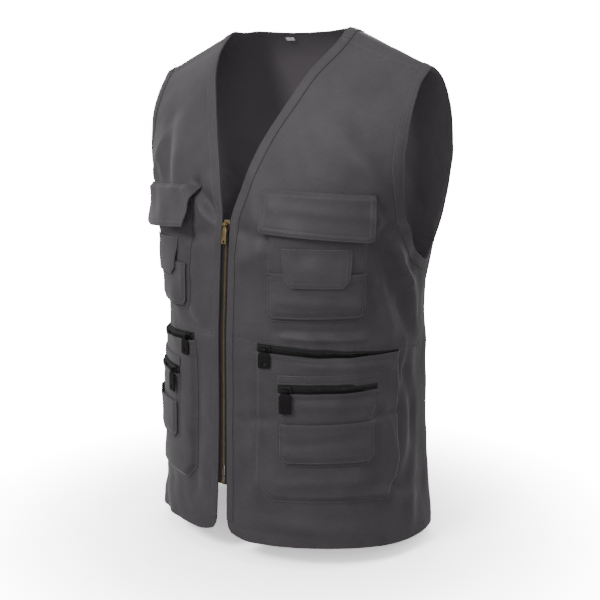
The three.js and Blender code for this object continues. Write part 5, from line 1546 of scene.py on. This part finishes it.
main_pull = pull_parts(MAIN_TAB, MAIN_TAB_WIDTH, MAIN_TAB_THICK, MAIN_TAB_WIDTH * 0.22)
main_tab = hardware("main_tab", place, main_pull)
wear(main_tab, BRASS, "brass", "main_pull", body="main_pull")

# Size label: a small blank loop of white satin ribbon sewn inside the back neck, on the wearer's
# right.
LABEL_WIDTH, LABEL_HEIGHT, LABEL_PLACE, LABEL_DROP, LABEL_STAND = 14, 7, -35, 9, 1.6
SATIN = cloth_material("white satin ribbon", (0.62, 0.62, 0.60), (0.78, 0.78, 0.76), ribs=1.6,
                       roughness=0.45, sheen=0.1, bump=0.1)


def size_label():
    """A small rectangle under the inside of the back panel, its free end curling off a little."""
    x = LABEL_PLACE - LABEL_WIDTH / 2 + graded(LABEL_WIDTH, 1.0, True, True)[None, :]
    down = graded(LABEL_HEIGHT, 0.8, True, True)[:, None]
    slope = float(np.linalg.norm(body_point(NECK_STATION + 1, 0.0) - body_point(NECK_STATION, 0.0)))
    station = NECK_STATION + (LABEL_DROP + down) / slope + 0 * x
    turn = turn_at_x(station, x)
    edge = reduce(np.minimum, (x - x.min(), x.max() - x, down, LABEL_HEIGHT - down))
    curl = 0.35 * smooth(down, 3, 7) + 0 * x
    lift = -CLOTH - LABEL_STAND - curl
    outer = skin(1, station, turn, lift)
    inner = skin(1, station, turn, lift - turned_edge(edge, 0.4))
    return cloth_mesh("size_label_ribbon", outer, inner, x + 0 * down, down + 0 * x, edge)


label = wear(size_label(), SATIN, "label", "size_label")

# Studio: a pale floor just below the hem, a large soft light high on the left of the camera, a
# weaker one on its right, and the camera where the photograph was taken from.
FLOOR = -0.702
FLOOR_LIT, FLOOR_SEEN, FLOOR_GLOW = 0.45, 3.6, 18.0  # shade for light, for the camera, and glow
GLOW_NEAR, GLOW_FAR, GLOW_LEAST = 0.72, 0.96, 0.02
SKY_LIGHT, SKY_SEEN = 0.6, 16.0
CAMERA_PLACE, CAMERA_LENS = (0.8434, -1.1844, -0.0873), 63.114
CAMERA_AZIMUTH, CAMERA_PITCH = 34.785, -11.15


def stage_floor():
    """A flat square of floor: every corner lies at the floor's height."""
    across, back = np.meshgrid(np.linspace(-9, 9, 5), np.linspace(-6, 9, 60))
    points = np.stack([across, back, FLOOR + 0 * across], -1).reshape(-1, 3)
    return new_piece("studio_floor", points, grid_faces(*across.shape, False, False))


def pale_surface(name, lit, seen, glow):
    """Matt paint that lights its surroundings as pale grey and photographs as white, with a glow
    that comes up smoothly with the distance from the middle of the floor."""
    material, tree, add = blank_material(name)
    ray = add("ShaderNodeLightPath")
    colour = add("ShaderNodeMix", {0: ray.outputs["Is Camera Ray"], 6: (lit, lit, lit, 1),
                                   7: (seen, seen, seen, 1)}, data_type="RGBA")
    surface = add("ShaderNodeBsdfDiffuse", {"Color": colour.outputs[2]})
    place = add("ShaderNodeTexCoord").outputs["Object"]
    away = add("ShaderNodeVectorMath", {0: place}, operation="LENGTH").outputs["Value"]
    far = add("ShaderNodeMapRange", {"Value": away, "From Min": GLOW_NEAR, "From Max": GLOW_FAR,
                                     "To Min": GLOW_LEAST}, interpolation_type="SMOOTHSTEP")
    strength = add("ShaderNodeMath", {0: far.outputs[0], 1: ray.outputs["Is Camera Ray"]},
                   operation="MULTIPLY")
    strength = add("ShaderNodeMath", {0: strength.outputs[0], 1: glow}, operation="MULTIPLY")
    light = add("ShaderNodeEmission", {"Strength": strength.outputs[0]})
    both = add("ShaderNodeAddShader", {0: surface.outputs[0], 1: light.outputs[0]})
    out = add("ShaderNodeOutputMaterial")
    tree.links.new(both.outputs[0], out.inputs[0])
    return material


floor = stage_floor()
floor.data.materials.append(pale_surface("studio paint", FLOOR_LIT, FLOOR_SEEN, FLOOR_GLOW))
floor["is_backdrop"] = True

world = bpy.data.worlds.new("studio")
bpy.context.scene.world = world
world.use_nodes = True
sky = world.node_tree
sky.nodes.clear()
add_sky = node_adder(sky)
sky_ray = add_sky("ShaderNodeLightPath")
sky_strength = add_sky("ShaderNodeMapRange", {"Value": sky_ray.outputs["Is Camera Ray"],
                                              "To Min": SKY_LIGHT, "To Max": SKY_SEEN})
sky_glow = add_sky("ShaderNodeBackground", {"Color": (1, 1, 1, 1),
                                            "Strength": sky_strength.outputs[0]})
sky_out = add_sky("ShaderNodeOutputWorld")
sky.links.new(sky_glow.outputs[0], sky_out.inputs[0])


def soft_light(name, place, aim, size, power):
    """A square lamp aimed at a point."""
    lamp = bpy.data.lights.new(name, "AREA")
    lamp.shape, lamp.size, lamp.energy = "SQUARE", size, power
    light = bpy.data.objects.new(name, lamp)
    bpy.context.scene.collection.objects.link(light)
    light.location = place
    light.rotation_euler = (Vector(aim) - Vector(place)).to_track_quat("-Z", "Y").to_euler()
    return light


soft_light("key_light", (-0.35, -2.2, 1.35), (0, 0, -0.2), 0.8, 45)
soft_light("fill_light", (1.25, -1.9, 0.45), (0, 0, -0.3), 1.0, 9.5)
soft_light("top_light", (0.0, -0.4, 2.1), (0, 0, -0.3), 1.2, 8)
soft_light("back_light", (-1.2, 2.0, 0.8), (0, 0, -0.35), 1.4, 20)

azimuth, pitch = math.radians(CAMERA_AZIMUTH), math.radians(CAMERA_PITCH)
ahead = Vector((-math.sin(azimuth) * math.cos(pitch), math.cos(azimuth) * math.cos(pitch),
                math.sin(pitch)))
right = Vector((math.cos(azimuth), math.sin(azimuth), 0))
above = right.cross(ahead)
lens = bpy.data.cameras.new("camera")
lens.lens, lens.sensor_width, lens.sensor_fit = CAMERA_LENS, 36, "HORIZONTAL"
lens.clip_start, lens.clip_end = 0.05, 60
camera = bpy.data.objects.new("camera", lens)
bpy.context.scene.collection.objects.link(camera)
aimed = Matrix((right, above, -ahead)).transposed().to_4x4()
camera.matrix_world = Matrix.Translation(Vector(CAMERA_PLACE)) @ aimed
bpy.context.scene.camera = camera

low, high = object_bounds()
